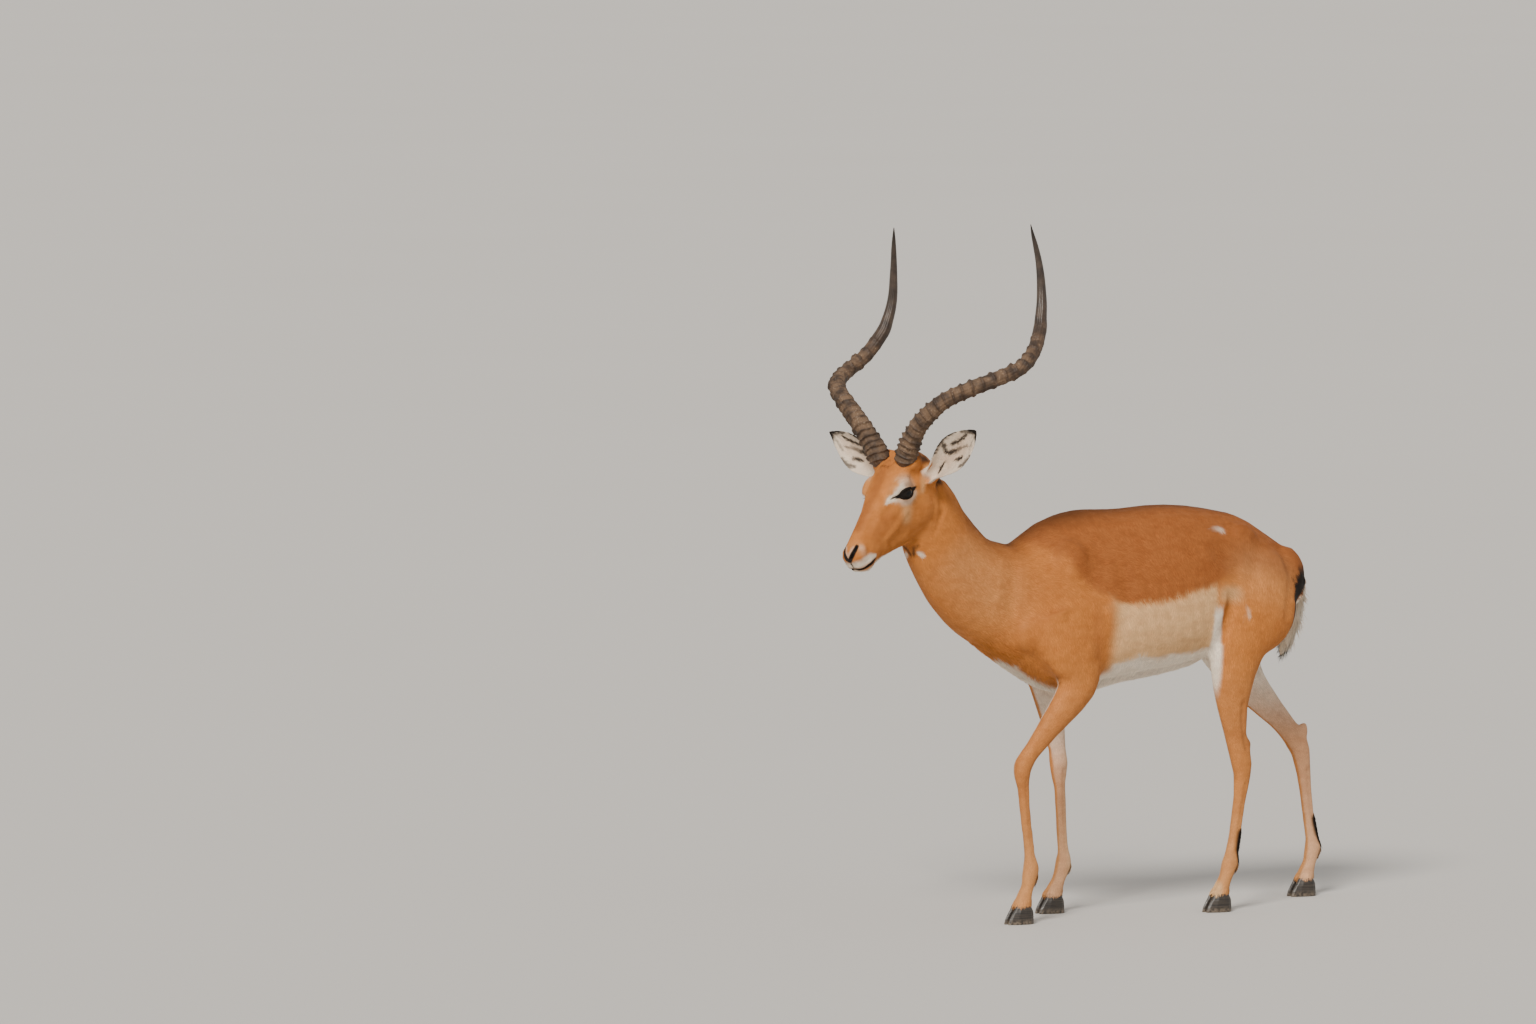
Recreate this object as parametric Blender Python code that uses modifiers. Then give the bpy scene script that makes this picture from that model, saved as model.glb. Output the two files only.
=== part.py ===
"""A male impala antelope at life size, walking, modelled whole and parted with thin cuts.

The animal faces -X, its left side is -Y and the ground is z = 0. All lengths are in metres.
"""

import math

import bmesh
import bpy
import numpy as np
from mathutils import Matrix, Vector

# ---- Driving dimensions ---------------------------------------------------------------------

BODY_GRID = 0.0050  # grid of the remesh that joins the masses of the body
HEAD_GRID = 0.0022  # and of the head, which has thin ears
CUT = 0.0003  # width of a parting cut
SEAT_GAP = 0.0007  # clearance round an eyeball, a horn or the tail in its seat
RING = 28  # points round a trunk or neck section
BODY_FACES = 3300  # triangles of the body without the head
HEAD_FACES = 1900  # triangles of the head with its ears and part of the neck

# Head frame: the point midway between the eyes, the turn to the left, the tilt that lifts the
# left side, and the downward pitch of the face.
HEAD_AT = Vector((-0.645, -0.064, 0.911))
HEAD_TURN = math.radians(16.0)
HEAD_TILT = math.radians(2.8)
HEAD_PITCH = math.radians(43.5)

# Heights of the level cuts between the trunk and the legs, and the legs and the hooves.
LEG_TOP = 0.463
CORONET = 0.034

# Places on the midline that the slanted cuts pass through.
CHEST, WITHERS = (-0.425, 0.0, 0.575), (-0.300, 0.0, 0.815)
THROAT, NAPE = (-0.585, -0.040, 0.775), (-0.500, -0.030, 0.955)

# ---- Colours, as linear RGB -----------------------------------------------------------------

COAT_RUFOUS = (0.36, 0.125, 0.035)
COAT_TAN = (0.55, 0.25, 0.085)
COAT_WHITE = (0.85, 0.80, 0.72)
HORN_BROWN = (0.075, 0.045, 0.03)
HOOF_BLACK = (0.02, 0.017, 0.015)
EYE_BLACK = (0.012, 0.008, 0.006)

# ---- Stations of the body -------------------------------------------------------------------

# Along the trunk: x, height of the top line, of the under line and of the widest place, half
# width, and how full the upper half is (2 is round, less is a ridge).
TRUNK = (
    (-0.412, 0.680, 0.610, 0.645, 0.030, 2.0),
    (-0.390, 0.728, 0.580, 0.650, 0.056, 2.0),
    (-0.340, 0.766, 0.545, 0.645, 0.080, 1.9),
    (-0.280, 0.806, 0.508, 0.640, 0.098, 1.7),
    (-0.220, 0.840, 0.478, 0.635, 0.112, 1.55),
    (-0.140, 0.857, 0.467, 0.635, 0.124, 1.55),
    (-0.050, 0.855, 0.485, 0.640, 0.136, 1.75),
    (0.050, 0.860, 0.498, 0.650, 0.144, 1.95),
    (0.130, 0.856, 0.514, 0.660, 0.138, 2.05),
    (0.200, 0.845, 0.541, 0.675, 0.122, 2.1),
    (0.260, 0.830, 0.560, 0.690, 0.112, 2.1),
    (0.320, 0.796, 0.580, 0.690, 0.102, 2.0),
    (0.370, 0.764, 0.610, 0.690, 0.080, 2.0),
    (0.398, 0.735, 0.650, 0.690, 0.045, 2.0),
)

# Along the neck: x, y, z of the centre, half depth, half width.
NECK = (
    (-0.220, 0.000, 0.665, 0.130, 0.085),
    (-0.310, 0.000, 0.672, 0.118, 0.084),
    (-0.376, -0.004, 0.695, 0.110, 0.075),
    (-0.428, -0.012, 0.726, 0.100, 0.066),
    (-0.469, -0.020, 0.768, 0.094, 0.060),
    (-0.505, -0.028, 0.815, 0.088, 0.055),
    (-0.530, -0.034, 0.865, 0.078, 0.051),
    (-0.552, -0.038, 0.910, 0.062, 0.046),
)

# Along the head: distance ahead of the eyes, top, bottom and widest height, half width.
HEAD = (
    (-0.122, 0.000, -0.070, -0.030, 0.026),
    (-0.104, 0.026, -0.098, -0.030, 0.042),
    (-0.074, 0.044, -0.122, -0.028, 0.051),
    (-0.035, 0.048, -0.132, -0.022, 0.053),
    (0.000, 0.043, -0.128, -0.018, 0.052),
    (0.030, 0.037, -0.115, -0.020, 0.046),
    (0.060, 0.031, -0.099, -0.024, 0.038),
    (0.090, 0.026, -0.083, -0.025, 0.032),
    (0.120, 0.021, -0.069, -0.024, 0.028),
    (0.150, 0.016, -0.060, -0.022, 0.027),
    (0.174, 0.009, -0.052, -0.021, 0.025),
    (0.186, -0.003, -0.040, -0.021, 0.017),
)

# Down each leg: x, y, z of the centre, half size fore and aft, half size across.
FORE_LEFT = (
    (-0.235, -0.078, 0.660, 0.085, 0.042),
    (-0.215, -0.088, 0.585, 0.075, 0.042),
    (-0.190, -0.090, 0.515, 0.052, 0.034),
    (-0.208, -0.089, 0.470, 0.040, 0.029),
    (-0.255, -0.085, 0.415, 0.028, 0.022),
    (-0.300, -0.082, 0.362, 0.0195, 0.0170),
    (-0.321, -0.080, 0.333, 0.0205, 0.0190),
    (-0.324, -0.079, 0.308, 0.0175, 0.0165),
    (-0.320, -0.078, 0.280, 0.0132, 0.0130),
    (-0.312, -0.077, 0.210, 0.0118, 0.0116),
    (-0.303, -0.076, 0.145, 0.0125, 0.0122),
    (-0.300, -0.076, 0.112, 0.0178, 0.0172),
    (-0.309, -0.076, 0.075, 0.0140, 0.0155),
    (-0.322, -0.076, 0.038, 0.0195, 0.0205),
    (-0.326, -0.076, 0.022, 0.0200, 0.0210),
)
FORE_RIGHT = (
    (-0.215, 0.078, 0.660, 0.085, 0.042),
    (-0.195, 0.088, 0.585, 0.072, 0.042),
    (-0.160, 0.090, 0.515, 0.050, 0.034),
    (-0.150, 0.087, 0.460, 0.037, 0.028),
    (-0.140, 0.083, 0.400, 0.027, 0.022),
    (-0.132, 0.080, 0.345, 0.0195, 0.0170),
    (-0.129, 0.079, 0.318, 0.0205, 0.0190),
    (-0.129, 0.078, 0.293, 0.0175, 0.0165),
    (-0.127, 0.077, 0.265, 0.0132, 0.0130),
    (-0.124, 0.076, 0.195, 0.0118, 0.0116),
    (-0.120, 0.075, 0.135, 0.0125, 0.0122),
    (-0.119, 0.075, 0.105, 0.0178, 0.0172),
    (-0.130, 0.075, 0.072, 0.0140, 0.0155),
    (-0.146, 0.075, 0.038, 0.0195, 0.0205),
    (-0.150, 0.075, 0.022, 0.0200, 0.0210),
)
HIND_LEFT = (
    (0.285, -0.065, 0.730, 0.090, 0.045),
    (0.252, -0.090, 0.645, 0.108, 0.048),
    (0.208, -0.100, 0.575, 0.077, 0.042),
    (0.194, -0.102, 0.520, 0.059, 0.036),
    (0.190, -0.102, 0.470, 0.047, 0.030),
    (0.193, -0.100, 0.420, 0.035, 0.024),
    (0.203, -0.097, 0.365, 0.0250, 0.0190),
    (0.217, -0.095, 0.315, 0.0240, 0.0195),
    (0.220, -0.094, 0.285, 0.0198, 0.0170),
    (0.214, -0.092, 0.230, 0.0145, 0.0135),
    (0.204, -0.090, 0.160, 0.0132, 0.0127),
    (0.197, -0.089, 0.122, 0.0145, 0.0140),
    (0.194, -0.088, 0.102, 0.0180, 0.0172),
    (0.182, -0.088, 0.070, 0.0140, 0.0155),
    (0.168, -0.088, 0.038, 0.0195, 0.0205),
    (0.164, -0.088, 0.022, 0.0200, 0.0210),
)
HIND_RIGHT = (
    (0.300, 0.065, 0.730, 0.090, 0.045),
    (0.290, 0.090, 0.645, 0.105, 0.048),
    (0.300, 0.098, 0.575, 0.080, 0.042),
    (0.325, 0.100, 0.520, 0.062, 0.036),
    (0.360, 0.098, 0.468, 0.046, 0.030),
    (0.405, 0.096, 0.420, 0.034, 0.024),
    (0.455, 0.094, 0.370, 0.0250, 0.0190),
    (0.490, 0.092, 0.325, 0.0240, 0.0195),
    (0.500, 0.091, 0.292, 0.0198, 0.0170),
    (0.507, 0.090, 0.240, 0.0145, 0.0135),
    (0.517, 0.089, 0.165, 0.0132, 0.0127),
    (0.524, 0.088, 0.125, 0.0145, 0.0140),
    (0.527, 0.088, 0.104, 0.0180, 0.0172),
    (0.518, 0.088, 0.070, 0.0140, 0.0155),
    (0.505, 0.088, 0.038, 0.0195, 0.0205),
    (0.501, 0.088, 0.022, 0.0200, 0.0210),
)
LEGS = {
    "fore_left": FORE_LEFT,
    "fore_right": FORE_RIGHT,
    "hind_left": HIND_LEFT,
    "hind_right": HIND_RIGHT,
}

# Down the tail: x, z of the centre, half thickness, half width.
TAIL = (
    (0.350, 0.742, 0.024, 0.026),
    (0.392, 0.738, 0.017, 0.022),
    (0.421, 0.714, 0.010, 0.017),
    (0.429, 0.676, 0.009, 0.019),
    (0.420, 0.630, 0.009, 0.023),
    (0.403, 0.585, 0.009, 0.023),
    (0.388, 0.545, 0.007, 0.017),
    (0.382, 0.520, 0.003, 0.006),
)

# Rounded masses of muscle and bone: centre, radii, tilt about Y in degrees. Each has a mirror twin.
MUSCLES = (
    ((-0.180, 0.056, 0.700), (0.070, 0.046, 0.105), -20.0),  # shoulder blade
    ((-0.288, 0.064, 0.612), (0.058, 0.040, 0.054), 0.0),  # point of the shoulder
    ((-0.140, 0.084, 0.590), (0.066, 0.036, 0.068), 25.0),  # triceps above the elbow
    ((0.222, 0.068, 0.778), (0.052, 0.032, 0.042), 0.0),  # hip bone
    ((0.335, 0.058, 0.690), (0.064, 0.044, 0.078), 12.0),  # buttock
    ((0.270, 0.078, 0.665), (0.088, 0.050, 0.104), 10.0),  # thigh
)

# The same on the head: place, radii along, across and up, yaw outwards and pitch in degrees.
HEAD_LUMPS = (
    ((-0.004, 0.0385, 0.004), (0.032, 0.0190, 0.026), -8.0, 0.0),  # rim of the orbit
    ((0.000, 0.0370, 0.018), (0.030, 0.0160, 0.014), -10.0, 0.0),  # brow
    ((-0.022, 0.0330, -0.062), (0.048, 0.0190, 0.044), 0.0, -14.0),  # cheek
    ((-0.068, 0.0320, 0.024), (0.030, 0.0260, 0.022), 0.0, 0.0),  # seat of the horn
    ((0.160, 0.0140, -0.012), (0.024, 0.0150, 0.018), 0.0, 0.0),  # wing of the nostril
    ((0.148, 0.0120, -0.036), (0.034, 0.0150, 0.016), 0.0, 12.0),  # upper lip
    ((-0.082, 0.0470, -0.026), (0.022, 0.0200, 0.026), 0.0, 0.0),  # base of the ear
    ((0.150, 0.0040, -0.047), (0.025, 0.0150, 0.012), 0.0, 14.0),  # chin
)

# The heel bone stands behind and above the hock: steps back and up from it.
HEELS = {"hind_left": (0.008, 0.020), "hind_right": (0.010, 0.016)}

# Places on the head: ahead of the eyes along the face, to the side, and above the face line.
EYE_PLACE = (0.000, 0.0440, 0.001)
EYE_RADIUS = 0.0175
HORN_ROOT = (-0.066, 0.035, 0.0425)
EAR_ROOT = (-0.071, 0.052, -0.0315)

# A horn's line from its root: back, outwards, up, and its radius there.
HORN_LINE = (
    (0.006, -0.006, -0.030, 0.0215),
    (-0.002, 0.002, -0.002, 0.0240),
    (-0.004, 0.017, 0.025, 0.0225),
    (-0.006, 0.034, 0.050, 0.0205),
    (-0.004, 0.054, 0.073, 0.0200),
    (0.010, 0.099, 0.110, 0.0178),
    (0.040, 0.145, 0.134, 0.0170),
    (0.082, 0.183, 0.153, 0.0165),
    (0.135, 0.203, 0.173, 0.0160),
    (0.186, 0.196, 0.203, 0.0156),
    (0.225, 0.183, 0.247, 0.0144),
    (0.237, 0.177, 0.274, 0.0125),
    (0.246, 0.173, 0.303, 0.0110),
    (0.250, 0.170, 0.332, 0.0096),
    (0.251, 0.168, 0.363, 0.0083),
    (0.250, 0.165, 0.393, 0.0068),
    (0.247, 0.161, 0.422, 0.0054),
    (0.244, 0.157, 0.446, 0.0034),
    (0.242, 0.154, 0.467, 0.0008),
)
HORN_SIDES = 8
RIDGE_REACH = 0.68  # share of the length with ridges
RIDGE_FIRST = 0.015  # spacing at the root and at the last ridge, as shares of the length
RIDGE_LAST = 0.046
RIDGE_RISE = 0.085  # height of a ridge as a share of the radius

# An ear: steps from root to tip back, outwards and up; the bow of its back; the turn outwards
# of its opening; and along it the share of the length, radius and half angle of the cup.
EAR_REACH = (-0.023, 0.153, 0.101)
EAR_BOW = 0.008
EAR_OUTWARD = math.radians(11.5)
EAR_STATIONS = (
    (0.00, 0.0120, 140.0),
    (0.12, 0.0135, 130.0),
    (0.24, 0.0200, 106.0),
    (0.36, 0.0300, 80.0),
    (0.50, 0.0415, 64.0),
    (0.65, 0.0470, 50.0),
    (0.80, 0.0450, 35.0),
    (0.92, 0.0380, 20.0),
    (1.00, 0.0260, 5.0),
)
EAR_WALL = 0.0040
EAR_CUT = 0.030  # how far up an ear it is parted from the head

# A claw: share of the height, reach of the toe and of the heel, half width.
CLAW_LEVELS = (
    (0.00, 0.040, 0.022, 0.0108),
    (0.30, 0.037, 0.022, 0.0108),
    (0.70, 0.029, 0.021, 0.0106),
    (1.00, 0.021, 0.019, 0.0100),
)
CLAW_SPLAY = 0.0112  # from the middle of the foot to the middle of a claw


# ---- Geometry helpers -----------------------------------------------------------------------


def through(rows, count):
    """Points at even steps on a smooth curve through the rows, whose columns may hold anything."""
    rows = np.array(rows, float)
    steps = np.linspace(0, len(rows) - 1, count)
    low = np.minimum(steps.astype(int), len(rows) - 2)
    t = (steps - low)[:, None]
    slope = np.gradient(rows, axis=0)
    a, b = rows[low], rows[low + 1]
    return (
        a * (1 + 2 * t) * (1 - t) ** 2
        + b * t**2 * (3 - 2 * t)
        + slope[low] * t * (1 - t) ** 2
        + slope[low + 1] * t**2 * (t - 1)
    )


def section(centre, side, up, width, rise, drop, count, power=2.1, crest=None):
    """One closed outline: a superellipse whose upper and lower halves have their own heights."""
    turn = np.arange(count) * 2 * math.pi / count
    fullness = np.where(np.sin(turn) > 0, crest or power, power)
    across = np.sign(np.cos(turn)) * abs(np.cos(turn)) ** (2 / fullness) * width
    height = np.sign(np.sin(turn)) * abs(np.sin(turn)) ** (2 / fullness)
    height *= np.where(height > 0, rise, drop)
    return np.array(centre) + np.outer(across, side) + np.outer(height, up)


def loft(rings):
    """A bmesh tube through the outlines, closed at both ends."""
    tube = bmesh.new()
    loops = [[tube.verts.new(point) for point in ring] for ring in rings]
    count = len(loops[0])
    for one, other in zip(loops, loops[1:]):
        for i in range(count):
            j = (i + 1) % count
            tube.faces.new((one[i], one[j], other[j], other[i]))
    tube.faces.new(loops[0])
    tube.faces.new(loops[-1])
    bmesh.ops.recalc_face_normals(tube, faces=tube.faces)
    return tube


def limb(rows, count, ring=20):
    """A leg: its outlines stand square to the line of the bones."""
    stations = through(rows, count)
    centres = stations[:, :3]
    along = np.gradient(centres, axis=0)
    rings = []
    for centre, direction, (fore, across) in zip(centres, along, stations[:, 3:]):
        side = np.array((0.0, 1.0, 0.0))
        up = np.cross(direction, side)
        up /= np.linalg.norm(up)
        rings.append(section(centre, side, up, across, fore, fore, ring))
    return loft(rings)


def lump(centre, radii, tilt=0.0):
    """An ellipsoid, tilted about Y."""
    ball = bmesh.new()
    matrix = (
        Matrix.Translation(centre)
        @ Matrix.Rotation(math.radians(tilt), 4, "Y")
        @ Matrix.Diagonal((*radii, 1.0))
    )
    bmesh.ops.create_uvsphere(ball, u_segments=24, v_segments=14, radius=1.0, matrix=matrix)
    return ball


def mesh_from(name, shapes):
    """One mesh from several bmeshes, each of which is freed."""
    whole = bmesh.new()
    for shape in shapes:
        part = bpy.data.meshes.new("part")
        shape.to_mesh(part)
        shape.free()
        whole.from_mesh(part)
        bpy.data.meshes.remove(part)
    mesh = bpy.data.meshes.new(name)
    whole.to_mesh(mesh)
    whole.free()
    return mesh


def place(name, mesh, material, collection):
    """Adds a node to the model."""
    node = bpy.data.objects.new(name, mesh)
    mesh.materials.clear()
    mesh.materials.append(material)
    collection.objects.link(node)
    return node


def evaluated(node):
    """The mesh of an object with its modifiers worked in."""
    bpy.context.view_layer.update()
    return bpy.data.meshes.new_from_object(
        node.evaluated_get(bpy.context.evaluated_depsgraph_get())
    )


def modified(mesh, *steps):
    """The mesh after these modifiers, each a type and its settings."""
    bench = bpy.data.objects.new("bench", mesh)
    bpy.context.scene.collection.objects.link(bench)
    for kind, settings in steps:
        modifier = bench.modifiers.new(kind.title(), kind)
        for key, value in settings.items():
            setattr(modifier, key, value)
    made = evaluated(bench)
    bpy.data.objects.remove(bench)
    return made


def relax(mesh, rounds, keep=0.52, fine_below=None):
    """Evens out creases between masses. A pass out after each pass in keeps the volume.

    Below a height, and only there, the surface stops after a few rounds.
    """
    count = len(mesh.vertices)
    points = np.empty(count * 3)
    mesh.vertices.foreach_get("co", points)
    points = points.reshape(-1, 3)
    ends = np.empty(len(mesh.edges) * 2, int)
    mesh.edges.foreach_get("vertices", ends)
    a, b = ends.reshape(-1, 2).T
    valence = np.bincount(np.concatenate((a, b)), minlength=count)[:, None]
    for turn in range(rounds):
        weight = np.ones((count, 1))
        if fine_below is not None and turn >= 8:
            weight = np.clip((points[:, 2:] - fine_below) / 0.06, 0.0, 1.0)
        for share in (0.5, -keep):
            total = np.zeros_like(points)
            for axis in range(3):
                total[:, axis] = np.bincount(a, points[b, axis], count)
                total[:, axis] += np.bincount(b, points[a, axis], count)
            points += weight * share * (total / valence - points)
    mesh.vertices.foreach_set("co", points.ravel())
    mesh.update()


def halved(mesh, at, normal, gap=CUT):
    """The part of a closed mesh behind a plane, closed again, less half the cut."""
    work = bmesh.new()
    work.from_mesh(mesh)
    normal = Vector(normal).normalized()
    cut = bmesh.ops.bisect_plane(
        work,
        geom=[*work.verts, *work.edges, *work.faces],
        dist=1e-6,
        plane_co=Vector(at) - normal * gap / 2,
        plane_no=normal,
        clear_outer=True,
    )
    rim = [edge for edge in cut["geom_cut"] if isinstance(edge, bmesh.types.BMEdge)]
    filled = bmesh.ops.holes_fill(work, edges=rim)
    bmesh.ops.triangulate(work, faces=filled["faces"])
    bmesh.ops.recalc_face_normals(work, faces=work.faces)
    made = bpy.data.meshes.new("half")
    work.to_mesh(made)
    work.free()
    return made


def parted(mesh, at, normal):
    """Both parts of a mesh: behind the plane and ahead of it."""
    return halved(mesh, at, normal), halved(mesh, at, -Vector(normal))


def islands(mesh):
    """The separate bodies of a mesh, as meshes."""
    work = bmesh.new()
    work.from_mesh(mesh)
    found, seen = [], set()
    for start in work.verts:
        if start in seen:
            continue
        body, todo = set(), [start]
        while todo:
            vertex = todo.pop()
            if vertex in body:
                continue
            body.add(vertex)
            todo += [edge.other_vert(vertex) for edge in vertex.link_edges]
        seen |= body
        found.append({vertex.index for vertex in body})
    work.free()
    made = []
    for body in found:
        work = bmesh.new()
        work.from_mesh(mesh)
        drop = [vertex for vertex in work.verts if vertex.index not in body]
        bmesh.ops.delete(work, geom=drop, context="VERTS")
        piece = bpy.data.meshes.new("island")
        work.to_mesh(piece)
        work.free()
        made.append(piece)
    return made


def largest(mesh):
    """The biggest of a mesh's bodies, without the crumbs a cut leaves."""
    return max(islands(mesh), key=lambda body: len(body.vertices))


def centre_of(mesh):
    return sum((vertex.co for vertex in mesh.vertices), Vector()) / len(mesh.vertices)


# ---- Head frame -----------------------------------------------------------------------------

AHEAD = Vector((-math.cos(HEAD_TURN), -math.sin(HEAD_TURN), 0.0))  # level, the way the head faces
LEFT = Vector((0.0, 0.0, 1.0)).cross(AHEAD)
LEFT = LEFT * math.cos(HEAD_TILT) + Vector((0.0, 0.0, math.sin(HEAD_TILT)))
UP = AHEAD.cross(LEFT)
MUZZLE = AHEAD * math.cos(HEAD_PITCH) - UP * math.sin(HEAD_PITCH)  # from the eyes to the nose
CROWN = AHEAD * math.sin(HEAD_PITCH) + UP * math.cos(HEAD_PITCH)  # square to it, upwards


def on_head(ahead, aside, up, side=1):
    """A place on the head: ahead of the eyes along the face, to a side, above the face line."""
    return HEAD_AT + MUZZLE * ahead + LEFT * (side * aside) + CROWN * up


def level_step(back, aside, up, side=1):
    """A step in the head's upright axes."""
    return LEFT * (side * aside) - AHEAD * back + UP * up


def head_lump(ahead, aside, up, radii, side=1, yaw=0.0, pitch=0.0):
    """An ellipsoid whose radii run along the face, across it and up, turned by yaw and pitch."""
    ball = bmesh.new()
    matrix = (
        Matrix.Translation(on_head(ahead, aside, up, side))
        @ Matrix((MUZZLE, LEFT, CROWN)).transposed().to_4x4()
        @ Matrix.Rotation(math.radians(yaw * side), 4, "Z")
        @ Matrix.Rotation(math.radians(pitch), 4, "Y")
        @ Matrix.Diagonal((*radii, 1.0))
    )
    bmesh.ops.create_uvsphere(ball, u_segments=20, v_segments=12, radius=1.0, matrix=matrix)
    bmesh.ops.recalc_face_normals(ball, faces=ball.faces)
    return ball


# ---- Flesh ----------------------------------------------------------------------------------


def trunk_shape():
    rings = []
    for x, top, bottom, widest, width, crest in through(TRUNK, 52):
        rise, drop = top - widest, widest - bottom
        centre = (x, 0, widest)
        rings.append(section(centre, (0, 1, 0), (0, 0, 1), width, rise, drop, RING, 2.1, crest))
    return loft(rings)


def neck_shape():
    stations = through(NECK, 34)
    centres = stations[:, :3]
    along = np.gradient(centres, axis=0)
    rings = []
    for centre, direction, (depth, width) in zip(centres, along, stations[:, 3:]):
        direction = direction / np.linalg.norm(direction)
        side = np.cross(direction, (0.0, 0.0, 1.0))
        side /= np.linalg.norm(side)
        up = np.cross(side, direction)
        rings.append(section(centre, side, up, width, depth, depth, RING))
    return loft(rings)


def head_shapes():
    rings = []
    for ahead, top, bottom, widest, width in through(HEAD, 44):
        centre = on_head(ahead, 0, widest)
        rings.append(section(centre, LEFT, CROWN, width, top - widest, widest - bottom, RING))
    shapes = [loft(rings)]
    for place, radii, yaw, pitch in HEAD_LUMPS:
        shapes += [head_lump(*place, radii, side, yaw, pitch) for side in (1, -1)]
    return shapes


def ear_shape(side):
    """A cupped leaf with an even wall: rolled into a tube at its root, open towards the front."""
    root = on_head(*EAR_ROOT, side)
    reach = level_step(*EAR_REACH, side)
    along = reach.normalized()
    facing = (AHEAD * math.cos(EAR_OUTWARD) + LEFT * side * math.sin(EAR_OUTWARD)).normalized()
    facing = (facing - along * facing.dot(along)).normalized()
    across = along.cross(facing)
    shell = bmesh.new()
    rows = []
    for share, radius, spread in through(EAR_STATIONS, 18):
        bow = EAR_BOW * math.sin(math.pi * share)
        spine = root + reach * share - facing * bow
        row = []
        for turn in np.linspace(-1, 1, 13) * math.radians(spread):
            out = across * (radius * math.sin(turn)) + facing * (radius * (1 - math.cos(turn)))
            row.append(shell.verts.new(spine + out))
        rows.append(row)
    for one, other in zip(rows, rows[1:]):
        for i in range(len(one) - 1):
            shell.faces.new((one[i], one[i + 1], other[i + 1], other[i]))
    flat = mesh_from("ear", [shell])
    solid = modified(flat, ("SOLIDIFY", {"thickness": EAR_WALL, "offset": 0.0}))
    shape = bmesh.new()
    shape.from_mesh(solid)
    bmesh.ops.recalc_face_normals(shape, faces=shape.faces)
    return shape


def body_shapes():
    shapes = [trunk_shape()]
    shapes += [limb(rows, 60) for rows in LEGS.values()]
    for (x, y, z), radii, tilt in MUSCLES:
        shapes += [lump((x, side * y, z), radii, tilt) for side in (1, -1)]
    for leg, (back, rise) in HEELS.items():
        x, y, z = LEGS[leg][7][:3]
        shapes.append(lump((x + back, y, z + rise), (0.0150, 0.0115, 0.0340), 14.0))
    for leg in ("fore_left", "fore_right"):
        x, y, z = LEGS[leg][2][:3]
        shapes.append(lump((x + 0.034, y, z + 0.012), (0.020, 0.017, 0.026), 20.0))  # elbow
    return shapes


def joined(shapes, grid, rounds, faces, fine_below=None):
    """One faceted closed skin round a set of masses, its creases softened."""
    whole = mesh_from("whole", shapes)
    fine = modified(whole, ("REMESH", {"mode": "VOXEL", "voxel_size": grid}))
    relax(fine, rounds, fine_below=fine_below)
    share = faces / (2 * len(fine.polygons))
    return modified(fine, ("DECIMATE", {"ratio": share, "use_collapse_triangulate": True}))


# ---- Eyes, horns, tail and hooves -----------------------------------------------------------


def eye_mesh(side, grow=0.0):
    ball = bmesh.new()
    matrix = Matrix.Translation(on_head(*EYE_PLACE, side))
    radius = EYE_RADIUS + grow
    bmesh.ops.create_uvsphere(ball, u_segments=16, v_segments=9, radius=radius, matrix=matrix)
    return mesh_from("eye", [ball])


def horn_levels():
    """Distances up a horn for its outlines: on and between the ridges, then even to the tip."""
    growth = (RIDGE_LAST - RIDGE_FIRST) / RIDGE_REACH
    count = math.log(1 + growth * RIDGE_REACH / RIDGE_FIRST) / growth
    steps = np.arange(0, count, 0.5)
    rough = RIDGE_FIRST / growth * (np.exp(steps * growth) - 1)
    smooth = np.linspace(rough[-1], 1.0, 9)[1:]
    waves = np.concatenate((np.cos(2 * math.pi * steps), np.zeros(len(smooth))))
    return np.concatenate((rough, smooth)), waves


def horn_mesh(side, grow=0.0):
    """A lyre-shaped horn, ridged most strongly on its front and bare towards the tip."""
    stations = through(HORN_LINE, 400)
    root = on_head(*HORN_ROOT, side)
    points = np.array([root + level_step(*row[:3], side) for row in stations])
    run = np.concatenate(([0], np.cumsum(np.linalg.norm(np.diff(points, axis=0), axis=1))))
    levels, waves = horn_levels()
    centres = np.column_stack([np.interp(levels * run[-1], run, points[:, i]) for i in range(3)])
    radii = np.interp(levels * run[-1], run, stations[:, 3]) + grow
    rings = []
    turn = np.arange(HORN_SIDES) * 2 * math.pi / HORN_SIDES
    for level, wave, centre, radius, direction in zip(
        levels, waves, centres, radii, np.gradient(centres, axis=0)
    ):
        direction = direction / np.linalg.norm(direction)
        front = np.array(AHEAD) - direction * np.dot(AHEAD, direction)
        front /= np.linalg.norm(front)
        across = np.cross(direction, front)
        fade = min(1.0, max(0.0, RIDGE_REACH - level) * 8)
        bulge = 1 + RIDGE_RISE * fade * wave * (0.6 + 0.4 * np.cos(turn))
        ring = np.outer(np.cos(turn) * bulge, front) + np.outer(np.sin(turn) * bulge, across)
        if level == 0:
            centre = centre - direction * grow
        rings.append(centre + radius * ring)
    return mesh_from("horn", [loft(rings)])


def tail_mesh():
    rings = []
    stations = through(TAIL, 14)
    along = np.gradient(stations[:, :2], axis=0)
    for (x, z, thick, width), (dx, dz) in zip(stations, along):
        up = np.array((dz, 0.0, -dx)) / math.hypot(dx, dz)
        rings.append(section((x, 0, z), (0, 1, 0), up, width, thick, thick, 10))
    return mesh_from("tail", [loft(rings)])


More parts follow.
